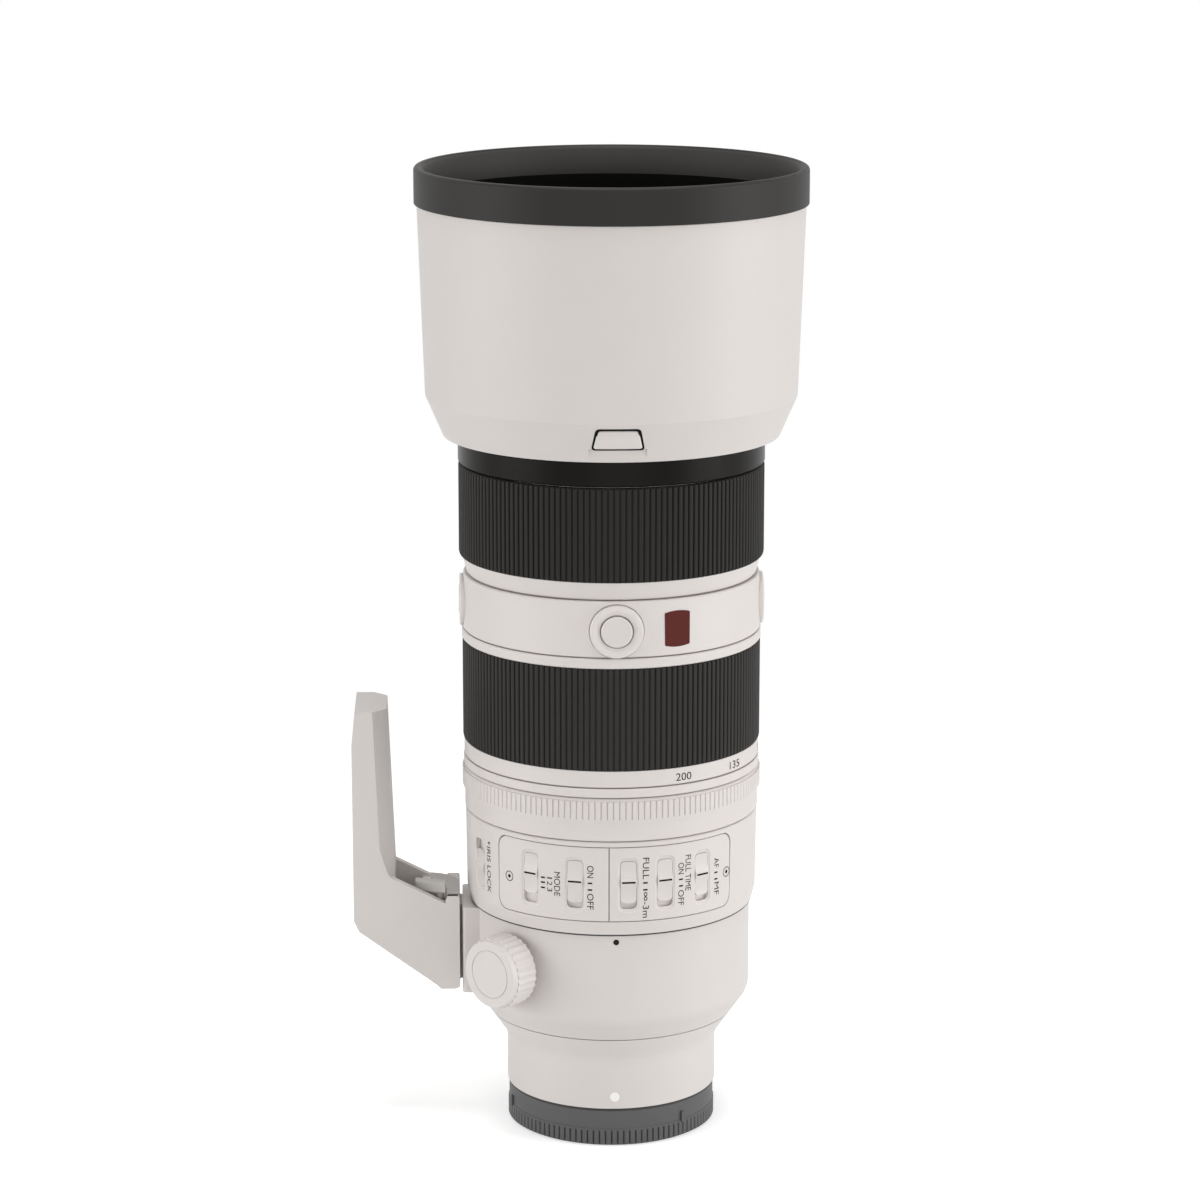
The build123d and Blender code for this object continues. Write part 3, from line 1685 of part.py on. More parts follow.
collar_round = 5.0
collar_edge = 0.4
knob_azimuth = -45.0
knob_lift = 20.1
knob_boss_r = 7.6
knob_boss_proud = 1.5
clamp_screw_r = 2.5
clamp_screw_fit = 0.1
base_half_width = 12.0
base_face_step = 1.25
base_lift = 6.7
base_drop = 0.5
base_edge = 1.0
tongue_neck_half = 5.0
tongue_flare = 2.0
tongue_depth = 3.8
tongue_lift = 2.2
tongue_drop = 0.9
collar_lip_top = web_z - axial_fit
collar_bore_r = collar_seat_r + running_fit
collar_corner_z = cone_foot_z + (collar_r - rear_r) / cone_slope_share
knob_z = collar_z + knob_lift
knob_boss_face_r = collar_r + knob_boss_proud
base_face_x = housing_high_r + base_face_step
base_low = collar_z + base_lift
base_high = collar_top - base_drop
tongue_head_half = tongue_neck_half + tongue_flare
tongue_low = base_low + tongue_lift
tongue_high = base_high - tongue_drop
knob_axis = face_plane(knob_azimuth, 0, knob_z)


def knob_plane(reach):
    """A plane square to the clamp knob's axis."""
    return face_plane(knob_azimuth, reach, knob_z)


def dovetail(fit):
    """The tongue's section on a level plane, grown by a fit for the foot's groove."""
    return (
        (-base_face_x + overrun, -tongue_neck_half - fit),
        (-base_face_x, -tongue_neck_half - fit),
        (-base_face_x - tongue_depth - fit, -tongue_head_half - fit),
        (-base_face_x - tongue_depth - fit, tongue_head_half + fit),
        (-base_face_x, tongue_neck_half + fit),
        (-base_face_x + overrun, tongue_neck_half + fit),
    )


with BuildPart() as tripod_collar:
    turned(
        [
            (spigot_r + running_fit, collar_z),
            (cone_r(collar_z), collar_z),
            (collar_r, collar_corner_z, collar_round),
            (collar_r, collar_top - collar_edge),
            (collar_r - collar_edge, collar_top),
            (collar_bore_r, collar_top),
            (collar_bore_r, collar_lip_top),
            (spigot_r + running_fit, collar_lip_top),
        ]
    )
    with BuildSketch(Plane.XY.offset(base_low)) as base_face:
        with BuildLine():
            FilletPolyline(
                (-base_face_x, -base_half_width),
                (-collar_seat_r + base_half_width, -base_half_width),
                (-collar_seat_r + base_half_width, base_half_width),
                (-base_face_x, base_half_width),
                radius=[base_edge, 0, 0, base_edge],
                close=True,
            )
        make_face()
        Circle(collar_bore_r + overrun, mode=Mode.SUBTRACT)
    extrude(base_face.sketch, amount=base_high - base_low)
    with BuildSketch(Plane.XY.offset(tongue_low)) as tongue_face:
        with BuildLine():
            Polyline(*dovetail(0), close=True)
        make_face()
    extrude(tongue_face.sketch, amount=tongue_high - tongue_low)
    rod(knob_plane(collar_seat_r + overrun), knob_boss_r, knob_boss_face_r - collar_seat_r - overrun)
    screw_hole = knob_plane(collar_seat_r - overrun)
    depth = knob_boss_face_r - collar_seat_r + overrun * 2
    rod(screw_hole, clamp_screw_r + clamp_screw_fit, depth, mode=Mode.SUBTRACT)
tripod_collar.part.label = "tripod_collar"
export_step(tripod_collar.part, "parts/tripod_collar.step")

knob_gap = 0.3
knob_thickness = 8.6
knob_rim_r = 10.4
knob_face_inset = 0.7
knob_flute_depth = 0.45
knob_flutes = 30
knob_face_edge = 1.6
knob_back_edge = 0.5
knob_disc_inset = 2.8
knob_disc_step = 0.25
knob_disc_line = 0.2
clamp_screw_tip = 0.2
clamp_screw_hold = 3.0
knob_face_r = knob_rim_r - knob_face_inset
knob_disc_r = knob_face_r - knob_disc_inset
knob_back = knob_boss_face_r + knob_gap
knob_front = knob_back + knob_thickness

with BuildPart() as clamp_knob:
    with BuildSketch(knob_plane(knob_back)) as knob_face:
        with BuildLine():
            flute_points = []
            for flute in range(knob_flutes * 2):
                angle = flute * pi / knob_flutes
                reach = knob_rim_r if flute % 2 else knob_rim_r - knob_flute_depth
                flute_points.append((reach * cos(angle), reach * sin(angle)))
            Polyline(*flute_points, close=True)
        make_face()
    extrude(knob_face.sketch, amount=knob_thickness - knob_face_edge)
    rod(knob_plane(knob_back), knob_rim_r - knob_flute_depth * 2, knob_thickness)
    with BuildSketch(knob_plane(knob_front - knob_face_edge)) as crown_face:
        Circle(knob_rim_r - knob_flute_depth)
    slope = degrees(atan2(knob_rim_r - knob_flute_depth - knob_face_r, knob_face_edge))
    extrude(crown_face.sketch, amount=knob_face_edge, taper=slope)
    with BuildSketch(knob_plane(knob_front)) as disc_line:
        Circle(knob_disc_r + knob_disc_line)
        Circle(knob_disc_r, mode=Mode.SUBTRACT)
    extrude(disc_line.sketch, amount=-knob_disc_step, mode=Mode.SUBTRACT)
    rod(knob_plane(knob_back), clamp_screw_r, clamp_screw_hold, mode=Mode.SUBTRACT)
clamp_knob.part.label = "clamp_knob"
export_step(clamp_knob.part, "parts/clamp_knob.step")

with BuildPart() as clamp_screw:
    tip = collar_seat_r + clamp_screw_tip
    rod(knob_plane(tip), clamp_screw_r, knob_back + clamp_screw_hold - tip)
clamp_screw.part.label = "clamp_screw"
export_step(clamp_screw.part, "parts/clamp_screw.step")

# Tripod foot: a lofted upright, a channel-shaped neck with the lever's pocket, and two bushes

foot_gap = 0.8
foot_reach = 30.8
foot_low_thickness = 12.1
foot_high_thickness = 10.1
foot_bevel = 4.0
foot_height = 83.7
foot_top_edge = 3.7
foot_lead_height = 10.0
foot_lead_depth = 1.0
foot_loft_lift = 33.6
foot_heel_lift = 20.8
foot_toe_lift = 1.2
foot_toe_edge = 1.2
foot_sole_length = 6.8
foot_sole_rise = 1.2
foot_slope_inset = 1.5
foot_slope_drop = 3.2
foot_bend_inset = 10.4
foot_bend_rise = 0.6
foot_shoulder_inset = 6.4
foot_shoulder_rise = 13.0
foot_notch_length = 4.2
foot_notch_drop = 2.1
foot_post_length = 3.5
foot_post_rise = 3.5
foot_wall = 2.7
foot_bend_round = 3.0
pocket_lift = 15.1
pocket_heel_rise = 6.0
pocket_length = 11.0
pocket_shelf_y = -3.6
pocket_end_length = 4.8
groove_head_gap = 0.2
lever_pivot_length = 5.8
lever_pivot_y = -7.0
lever_shaft_r = 2.0
lever_shaft_length = 9.0
lever_shaft_fit = 0.1
bush_r = 5.0
bush_length = 7.0
bush_thread_r = 3.175
bush_lifts = (39.6, 61.1)
foot_half_width = base_half_width
foot_face_x = base_face_x + foot_gap
foot_outer_x = foot_face_x + foot_reach
foot_inner_low_x = foot_outer_x - foot_low_thickness
foot_inner_high_x = foot_outer_x - foot_high_thickness
foot_sole_x = foot_face_x + foot_sole_length
foot_slope_x = foot_outer_x - foot_slope_inset
foot_bend_x = foot_outer_x - foot_bend_inset
foot_shoulder_x = foot_outer_x - foot_shoulder_inset
foot_notch_x = foot_face_x + foot_notch_length
foot_post_x = foot_face_x + foot_post_length
pocket_wall_x = foot_face_x + pocket_length
pocket_end_x = foot_face_x + pocket_end_length
lever_pivot_x = foot_face_x + lever_pivot_length
foot_toe_z = base_low + foot_toe_lift
foot_top = foot_toe_z + foot_height
foot_loft_low = foot_toe_z + foot_loft_lift
foot_heel_z = foot_toe_z + foot_heel_lift
foot_slope_z = foot_heel_z - foot_slope_drop
foot_bend_z = foot_loft_low + foot_bend_rise
foot_shoulder_z = foot_loft_low + foot_shoulder_rise
foot_post_z = base_high + foot_post_rise
foot_notch_z = foot_post_z - foot_notch_drop
pocket_low = foot_toe_z + pocket_lift
pocket_heel_z = pocket_low + pocket_heel_rise
bush_heights = tuple(foot_toe_z + lift for lift in bush_lifts)
channel_half = foot_half_width - foot_wall


def upright_section(height):
    """The upright's outline at a height: flat outer face, bevelled inner edges."""
    share = (height - foot_loft_low) / (foot_top - foot_loft_low)
    inner = foot_inner_low_x + (foot_inner_high_x - foot_inner_low_x) * share
    return (
        (-foot_outer_x, -foot_half_width),
        (-inner - foot_bevel, -foot_half_width),
        (-inner, -foot_half_width + foot_bevel),
        (-inner, foot_half_width - foot_bevel),
        (-inner - foot_bevel, foot_half_width),
        (-foot_outer_x, foot_half_width),
    )


with BuildPart() as tripod_foot:
    for height in (foot_loft_low, foot_top):
        with BuildSketch(Plane.XY.offset(height)):
            with BuildLine():
                Polyline(*upright_section(height), close=True)
            make_face()
    loft()
    heel_round = foot_bend_round / 3
    neck_rounds = [0, heel_round, heel_round, 0, 0, 0, 0, foot_toe_edge / 2, 0, 0, foot_bend_round, 0]
    with BuildSketch(Plane.XZ.offset(-foot_half_width)) as neck_face:
        with BuildLine():
            FilletPolyline(
                (-foot_outer_x, foot_shoulder_z),
                (-foot_outer_x, foot_heel_z),
                (-foot_slope_x, foot_slope_z),
                (-foot_sole_x, foot_toe_z + foot_sole_rise),
                (-foot_sole_x + foot_toe_edge, foot_toe_z),
                (-foot_face_x - foot_toe_edge, foot_toe_z),
                (-foot_face_x, foot_toe_z + foot_toe_edge / 2),
                (-foot_face_x, foot_post_z),
                (-foot_post_x, foot_post_z),
                (-foot_notch_x, foot_notch_z),
                (-foot_bend_x, foot_bend_z),
                (-foot_shoulder_x, foot_shoulder_z),
                radius=neck_rounds,
                close=True,
            )
        make_face()
    extrude(neck_face.sketch, amount=foot_half_width * 2)
    with BuildSketch(Plane.XZ.offset(-channel_half)) as pocket_face:
        with BuildLine():
            Polyline(
                (-foot_inner_low_x, foot_shoulder_z),
                (-foot_inner_low_x, pocket_heel_z),
                (-pocket_wall_x, pocket_low),
                (-pocket_wall_x, foot_shoulder_z),
                close=True,
            )
        make_face()
    extrude(pocket_face.sketch, amount=channel_half * 2, mode=Mode.SUBTRACT)
    for low, edge_x, edge_y in (
        (pocket_low, pocket_end_x, pocket_shelf_y),
        (foot_post_z, foot_face_x - overrun, channel_half),
    ):
        with BuildSketch(Plane.XY.offset(low)) as notch_face:
            with BuildLine():
                Polyline(
                    (-pocket_wall_x - overrun, -channel_half),
                    (-edge_x, -channel_half),
                    (-edge_x, edge_y),
                    (-pocket_wall_x - overrun, edge_y),
                    close=True,
                )
            make_face()
        extrude(notch_face.sketch, amount=foot_shoulder_z - low, mode=Mode.SUBTRACT)
    with BuildSketch(Plane.XZ.offset(-foot_half_width - overrun)) as crown_cut:
        with BuildLine():
            Polyline(
                (-foot_outer_x - overrun, foot_top - foot_lead_height),
                (-foot_outer_x, foot_top - foot_lead_height),
                (-foot_outer_x + foot_lead_depth, foot_top),
                (-foot_outer_x + foot_lead_depth, foot_top + overrun),
                (-foot_outer_x - overrun, foot_top + overrun),
                close=True,
            )
            Polyline(
                (-foot_inner_high_x - foot_top_edge, foot_top + overrun),
                (-foot_inner_high_x - foot_top_edge, foot_top),
                (-foot_inner_high_x, foot_top - foot_top_edge),
                (-foot_inner_high_x + overrun, foot_top - foot_top_edge),
                (-foot_inner_high_x + overrun, foot_top + overrun),
                close=True,
            )
        make_face()
    extrude(crown_cut.sketch, amount=(foot_half_width + overrun) * 2, mode=Mode.SUBTRACT)
    with BuildSketch(Plane.XY.offset(foot_toe_z - overrun)) as groove_face:
        with BuildLine():
            Polyline(*dovetail(axial_fit), close=True)
        make_face()
    groove_length = tongue_high + groove_head_gap - foot_toe_z + overrun
    extrude(groove_face.sketch, amount=groove_length, mode=Mode.SUBTRACT)
    pivot = Plane(origin=(-lever_pivot_x, lever_pivot_y, foot_post_z + overrun), z_dir=(0, 0, -1))
    rod(pivot, lever_shaft_r + lever_shaft_fit, lever_shaft_length + overrun * 2, mode=Mode.SUBTRACT)
    for height in bush_heights:
        seat = Plane(origin=(-foot_outer_x, 0, height), x_dir=(0, 1, 0), z_dir=(1, 0, 0))
        rod(seat, bush_r, bush_length, mode=Mode.SUBTRACT)
tripod_foot.part.label = "tripod_foot"
export_step(tripod_foot.part, "parts/tripod_foot.step")

with BuildPart() as tripod_bushes:
    for height in bush_heights:
        seat = Plane(origin=(-foot_outer_x, 0, height), x_dir=(0, 1, 0), z_dir=(1, 0, 0))
        rod(seat, bush_r, bush_length)
    for height in bush_heights:
        seat = Plane(origin=(-foot_outer_x, 0, height), x_dir=(0, 1, 0), z_dir=(1, 0, 0))
        rod(seat, bush_thread_r, bush_length, mode=Mode.SUBTRACT)
tripod_bushes.part.label = "tripod_bushes"
export_step(tripod_bushes.part, "parts/tripod_bushes.step")

lever_gap = 0.35
lever_hub_r = 4.1
lever_hub_height = 5.3
lever_hub_round = 1.1
lever_head_width = 3.4
lever_head_inset = 0.1
lever_head_gap = 0.2
lever_tab_length = 7.6
lever_tab_width = 2.6
lever_tab_height = 3.4
lever_tab_round = 0.6
lever_tab_turn = 32.0
lever_tab_x = -lever_pivot_x - lever_tab_length / 2 * cos(radians(lever_tab_turn))
lever_tab_y = lever_pivot_y + lever_tab_length / 2 * sin(radians(lever_tab_turn)) - lever_tab_width / 2

with BuildPart() as foot_lever:
    low = foot_post_z + lever_gap
    head_depth = lever_pivot_y + foot_half_width - lever_head_gap
    head_right = -lever_pivot_x + lever_hub_r - lever_head_inset
    with BuildSketch(Plane.XY.offset(low)) as hub_face:
        with Locations((-lever_pivot_x, lever_pivot_y)):
            Circle(lever_hub_r)
        with Locations((head_right - lever_head_width / 2, lever_pivot_y - head_depth / 2)):
            Rectangle(lever_head_width, head_depth)
    extrude(hub_face.sketch, amount=lever_hub_height)
    rims = foot_lever.edges().group_by(Axis.Z)[-1]
    fillet(rims, lever_hub_round)
    along = (cos(radians(lever_tab_turn)), -sin(radians(lever_tab_turn)), 0)
    block(
        Plane(origin=(lever_tab_x, lever_tab_y, low), x_dir=along, z_dir=(0, 0, 1)),
        lever_tab_length,
        lever_tab_width,
        lever_tab_height,
        lever_tab_round,
    )
    shaft = Plane(origin=(-lever_pivot_x, lever_pivot_y, low + lever_hub_height / 2), z_dir=(0, 0, -1))
    rod(shaft, lever_shaft_r, lever_shaft_length + lever_gap + lever_hub_height / 2)
foot_lever.part.label = "foot_lever"
export_step(foot_lever.part, "parts/foot_lever.step")

# Rear cap: ribbed rim, smooth band, floor and the lugs that hook behind the bayonet claws

cap_band_inset = 0.2
cap_rib_depth = 0.5
cap_rib_height = 4.6
cap_rib_overlap = 0.4
cap_rib_share = 0.68
cap_ribs = 108
cap_edge = 0.6
cap_ledge = 0.25
cap_ledge_height = 0.5
cap_wall = 2.6
cap_floor = 1.8
cap_lug_height = 1.6
cap_lug_lift = 0.4
cap_lug_span = 40.0
cap_lug_fit = 0.4
cap_tab_azimuths = (-75.0, 41.0, 161.0)
cap_tab_width = 0.9
cap_tab_drop = 3.4
cap_tab_proud = 0.4
cap_band_r = rear_r - cap_band_inset
cap_root_r = cap_band_r - cap_rib_depth
cap_tab_height = cap_height - cap_rib_height - cap_tab_drop
cap_lug_r = bayonet_tube_r + cap_lug_fit
cap_bore_r = cap_band_r - cap_wall
cap_lug_z = claw_z + claw_height + cap_lug_lift

with BuildPart() as rear_cap:
    turned(
        [
            (0, 0),
            (cap_root_r - cap_edge, 0),
            (cap_root_r, cap_edge),
            (cap_root_r, cap_rib_height),
            (cap_band_r, cap_rib_height),
            (cap_band_r, cap_rib_height + cap_ledge_height),
            (cap_band_r - cap_ledge, cap_rib_height + cap_ledge_height + cap_ledge),
            (cap_band_r - cap_ledge, cap_height - cap_edge),
            (cap_band_r - cap_ledge - cap_edge, cap_height),
            (cap_bore_r, cap_height),
            (cap_bore_r, cap_floor),
            (0, cap_floor),
        ]
    )
    ribbed(
        cap_root_r - cap_rib_overlap,
        cap_root_r,
        cap_band_r,
        cap_edge,
        cap_rib_height,
        cap_ribs,
        cap_rib_share,
    )
    for claw in range(claw_count):
        middle = claw * full_turn / claw_count
        sector(
            cap_lug_r,
            cap_bore_r + overrun,
            cap_lug_z,
            cap_lug_z + cap_lug_height,
            middle - cap_lug_span / 2,
            cap_lug_span,
        )
    for azimuth in cap_tab_azimuths:
        tab = face_plane(azimuth, cap_root_r - cap_rib_overlap, cap_rib_height + cap_tab_height / 2)
        block(tab, cap_tab_width, cap_tab_height, cap_rib_overlap + cap_rib_depth + cap_tab_proud)
rear_cap.part.label = "rear_cap"
export_step(rear_cap.part, "parts/rear_cap.step")
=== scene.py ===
import json
import math

import bpy
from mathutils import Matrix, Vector


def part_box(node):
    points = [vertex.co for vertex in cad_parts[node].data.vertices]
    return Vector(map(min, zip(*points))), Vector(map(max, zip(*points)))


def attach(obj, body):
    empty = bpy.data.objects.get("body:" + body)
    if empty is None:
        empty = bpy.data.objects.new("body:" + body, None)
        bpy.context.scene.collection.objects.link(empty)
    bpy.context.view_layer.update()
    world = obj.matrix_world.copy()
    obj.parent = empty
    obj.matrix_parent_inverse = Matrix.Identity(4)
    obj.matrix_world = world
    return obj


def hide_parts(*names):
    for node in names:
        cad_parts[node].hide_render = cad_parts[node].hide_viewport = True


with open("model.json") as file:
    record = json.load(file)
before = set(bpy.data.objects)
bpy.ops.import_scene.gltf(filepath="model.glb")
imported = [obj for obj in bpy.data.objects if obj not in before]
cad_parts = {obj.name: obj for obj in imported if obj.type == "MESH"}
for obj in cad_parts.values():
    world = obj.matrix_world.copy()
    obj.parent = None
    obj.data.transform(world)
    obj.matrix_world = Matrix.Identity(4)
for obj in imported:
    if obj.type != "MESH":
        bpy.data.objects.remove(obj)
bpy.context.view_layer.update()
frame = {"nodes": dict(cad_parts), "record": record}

# A telephoto zoom lens on its rear cap. Sizes are in millimetres until a mesh is made.
# Azimuths are in degrees about Z, from -Y towards +X.

METRE = 0.001
FULL_TURN = 2 * math.pi

# Radii and heights of the skins that marks lie on
PLATE_R = 42.35
HOUSING_LOW_R = 42.25
HOUSING_LOW_Z = 71.5
HOUSING_SWELL = 0.3
HOUSING_RISE = 23.6
MARK_LIFT = 0.03


def plate_skin(height):
    """The switch plates' radius, the same at every height."""
    return PLATE_R


def housing_skin(height):
    """The switch housing's radius, which grows with the height."""
    return HOUSING_LOW_R + HOUSING_SWELL * (height - HOUSING_LOW_Z) / HOUSING_RISE


# Materials

MOTTLE = 0.02
MOTTLE_SIZE = 14.0
MOTTLE_DETAIL = 4
GRAIN_DETAIL = 2
GRAIN_DEPTH = 0.25
GLOSS_SPREAD = 0.05


def new_material(name):
    """A material, its nodes, its links and its surface shader."""
    material = bpy.data.materials.new(name)
    material.use_nodes = True
    nodes, links = material.node_tree.nodes, material.node_tree.links
    return material, nodes, links, nodes["Principled BSDF"]


def paint(name, colour, roughness, grain=0.1, grain_size=0.3, specular=0.5, metallic=0.0):
    """A finish with a fine bumpy grain, a gloss that the grain varies and a faint broad mottle."""
    material, nodes, links, shader = new_material(name)
    shader.inputs["Metallic"].default_value = metallic
    shader.inputs["Specular IOR Level"].default_value = specular
    place = nodes.new("ShaderNodeTexCoord")
    fine = nodes.new("ShaderNodeTexNoise")
    fine.inputs["Scale"].default_value = 1 / (grain_size * METRE)
    fine.inputs["Detail"].default_value = GRAIN_DETAIL
    broad = nodes.new("ShaderNodeTexNoise")
    broad.inputs["Scale"].default_value = 1 / (MOTTLE_SIZE * METRE)
    broad.inputs["Detail"].default_value = MOTTLE_DETAIL
    shades = nodes.new("ShaderNodeMix")
    shades.data_type = "RGBA"
    shades.inputs["A"].default_value = (*[value * (1 - MOTTLE) for value in colour], 1)
    shades.inputs["B"].default_value = (*[value * (1 + MOTTLE) for value in colour], 1)
    gloss = nodes.new("ShaderNodeMapRange")
    gloss.inputs["To Min"].default_value = roughness - GLOSS_SPREAD
    gloss.inputs["To Max"].default_value = roughness + GLOSS_SPREAD
    bump = nodes.new("ShaderNodeBump")
    bump.inputs["Strength"].default_value = grain
    bump.inputs["Distance"].default_value = grain_size * METRE * GRAIN_DEPTH
    links.new(place.outputs["Object"], fine.inputs["Vector"])
    links.new(place.outputs["Object"], broad.inputs["Vector"])
    links.new(broad.outputs["Fac"], shades.inputs["Factor"])
    links.new(shades.outputs["Result"], shader.inputs["Base Color"])
    links.new(fine.outputs["Fac"], gloss.inputs["Value"])
    links.new(gloss.outputs["Result"], shader.inputs["Roughness"])
    links.new(fine.outputs["Fac"], bump.inputs["Height"])
    links.new(bump.outputs["Normal"], shader.inputs["Normal"])
    return material


GLASS_TINT = (0.01, 0.014, 0.02)
GLASS_EDGE = (0.03, 0.012, 0.035)


def glass(name):
    """Dark coated glass: mostly a tinted gloss over a near-black inside."""
    material, nodes, links, shader = new_material(name)
    shader.inputs["Roughness"].default_value = 0.04
    shader.inputs["Specular IOR Level"].default_value = 0.8
    shader.inputs["Coat Weight"].default_value = 1.0
    shader.inputs["Coat Roughness"].default_value = 0.02
    facing = nodes.new("ShaderNodeLayerWeight")
    film = nodes.new("ShaderNodeMix")
    film.data_type = "RGBA"
    film.inputs["A"].default_value = (*GLASS_TINT, 1)
    film.inputs["B"].default_value = (*GLASS_EDGE, 1)
    links.new(facing.outputs["Facing"], film.inputs["Factor"])
    links.new(film.outputs["Result"], shader.inputs["Base Color"])
    return material


# Each finish's colour, its roughness, and what it has of its own
BODY = (0.66, 0.622, 0.597)
LACQUER = {"grain": 0.16, "grain_size": 0.35}
FINISHES = {
    "body_paint": (BODY, 0.5, LACQUER),
    "metal_paint": ((0.64, 0.603, 0.579), 0.5, LACQUER),
    # The hood shell's paint: the body's colour, a little darker all over
    "hood_paint": ((0.618, 0.582, 0.559), 0.5, LACQUER),
    "plate_paint": (BODY, 0.55, {}),
    "slider_plastic": ((0.655, 0.617, 0.593), 0.45, {}),
    "button_rubber": ((0.65, 0.612, 0.588), 0.45, {}),
    "bezel_paint": ((0.68, 0.64, 0.615), 0.4, {}),
    "badge_enamel": ((0.085, 0.0095, 0.006), 0.4, {"specular": 0.2}),
    "front_black": ((0.0036, 0.0025, 0.0017), 0.3, {"specular": 0.12}),
    "grip_rubber": ((0.0126, 0.0114, 0.0102), 0.6, {"grain": 0.2, "specular": 0.22}),
    "zoom_grip_rubber": ((0.0178, 0.0159, 0.0147), 0.6, {"grain": 0.2, "specular": 0.25}),
    "bumper_rubber": ((0.0166, 0.0152, 0.0142), 0.5, {"grain": 0.15, "specular": 0.22}),
    # A lighter copy of the bumper's rubber: painted light on the hood's inner wall
    "mouth_painted_light": ((0.037, 0.034, 0.0315), 0.6, {"grain": 0.15, "specular": 0.3}),
    "hood_inside": ((0.005, 0.0047, 0.0043), 0.85, {"grain": 0.3, "specular": 0.05}),
    # Dark rubber for the seal, and for the painted shadow ring under the housing
    "seal_rubber": ((0.03, 0.03, 0.03), 0.6, {}),
    "cap_plastic": ((0.076, 0.075, 0.078), 0.55, {"grain": 0.15, "grain_size": 0.25}),
    "bead_plastic": ((0.9, 0.89, 0.87), 0.25, {}),
    "lever_metal": ((0.46, 0.44, 0.42), 0.45, {"grain": 0.15}),
    "lock_metal": ((0.4, 0.375, 0.355), 0.45, {"grain": 0.15}),
    "bright_metal": ((0.62, 0.62, 0.63), 0.3, {"metallic": 1.0}),
    "blade_metal": ((0.03, 0.03, 0.03), 0.4, {"metallic": 0.6}),
    "inner_alloy": ((0.02, 0.02, 0.02), 0.5, {}),
    "inner_plastic": ((0.02, 0.02, 0.02), 0.6, {}),
    "ink": ((0.009, 0.0085, 0.008), 0.6, {"specular": 0.15}),
    # Black for printed lines, and for the painted shadow round the hood's button, along the lock plate
    # and in the screws' sockets
    "line_black": ((0.004, 0.0035, 0.003), 0.6, {"specular": 0.1}),
}
looks = {"lens_glass": glass("lens_glass")}
for name, (colour, roughness, own) in FINISHES.items():
    looks[name] = paint(name, colour, roughness, **own)

for part in frame["record"]["subparts"]:
    node = frame["nodes"][part["node"]]
    node.data.materials.clear()
    node.data.materials.append(looks[part["material_slot"]])
frame["nodes"]["hood_shell"].data.materials[0] = looks["hood_paint"]


# Mesh helpers


def piece(name, vertices, faces, look, body, smooth=False):
    """Makes a mesh object from millimetre vertices, and lets it ride on a body."""
    mesh = bpy.data.meshes.new(name)
    mesh.from_pydata([Vector(vertex) * METRE for vertex in vertices], [], faces)
    mesh.update()
    mesh.materials.append(looks[look])
    for face in mesh.polygons:
        face.use_smooth = smooth
    made = bpy.data.objects.new(name, mesh)
    bpy.context.scene.collection.objects.link(made)
    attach(made, body)
    return made


def polar(azimuth, radius, height):
    """The point at an azimuth, a radius and a height."""
    turn = math.radians(azimuth)
    return (radius * math.sin(turn), -radius * math.cos(turn), height)


def raised(outline, height):
    """The points of a flat outline at a height."""
    return [(x, y, height) for x, y in outline]


def skin_circle(azimuth, height, reach, radius, sides):
    """The points of a circle laid on a round skin, just clear of it."""
    points = []
    for side in range(sides):
        angle = FULL_TURN * side / sides
        turn = azimuth + math.degrees(reach * math.cos(angle) / radius)
        points.append(polar(turn, radius + MARK_LIFT, height + reach * math.sin(angle)))
    return points


def loop_faces(count, low, high):
    """The faces between two closed loops, from the number of each loop's first point."""
    faces = []
    for index in range(count):
        after = (index + 1) % count
        faces.append((low + index, low + after, high + after, high + index))
    return faces


def prism_faces(count, start):
    """The faces of a closed prism, from its number of sides and the number of its first point."""
    low = range(start, start + count)
    high = range(start + count, start + 2 * count)
    return [tuple(reversed(low)), tuple(high)] + loop_faces(count, start, start + count)


SKIN_SIDES = 128


def turned_skin(name, outline, look, body):
    """An open skin turned about Z from points of (radius, height)."""
    vertices = []
    for radius, height in outline:
        vertices += [polar(side * 360 / SKIN_SIDES, radius, height) for side in range(SKIN_SIDES)]
    faces = []
    for row in range(len(outline) - 1):
        faces += loop_faces(SKIN_SIDES, row * SKIN_SIDES, (row + 1) * SKIN_SIDES)
    piece(name, vertices, faces, look, body, smooth=True)


# Rubber grips with rounded ribs

# Share of the pitch, and depth below the crest
RIB = [(0.0, 0.0), (0.22, 0.03), (0.33, 0.14), (0.42, 0.5), (0.58, 0.5), (0.67, 0.14), (0.78, 0.03)]
EDGE_DROP = 0.45
SHOULDER_DROP = 0.12
SHOULDER_RISE = 0.3
CREST_RISE = 0.9
ZOOM_RIBS = 161
ZOOM_WALL = 1.6
FOCUS_RIBS = 165
FOCUS_WALL = 1.75


def rubber_grip(node, name, count, wall, body, look):
    """A ribbed rubber sleeve in the place of a node, its ribs rounded off at both ends."""
    corner_low, corner_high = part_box(node)
    low, high = corner_low[2] / METRE, corner_high[2] / METRE
    outer = corner_high[0] / METRE
    # The radius and the height of each row of points, and how much of the ribs' depth it shows
    rows = [
        (outer - EDGE_DROP, low, 0),
        (outer - SHOULDER_DROP, low + SHOULDER_RISE, 1),
        (outer, low + CREST_RISE, 1),
        (outer, high - CREST_RISE, 1),
        (outer - SHOULDER_DROP, high - SHOULDER_RISE, 1),
        (outer - EDGE_DROP, high, 0),
    ]
    vertices = []
    for radius, height, share in rows:
        for rib in range(count):
            for along, depth in RIB:
                vertices.append(polar((rib + along) * 360 / count, radius - depth * share, height))
    around = count * len(RIB)
    for height in (high, low):
        vertices += [polar(step * 360 / around, outer - wall, height) for step in range(around)]
    levels = len(rows) + 2
    faces = []
    for level in range(levels):
        faces += loop_faces(around, level * around, (level + 1) % levels * around)
    grip = piece(name, vertices, faces, look, body)
    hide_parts(node)


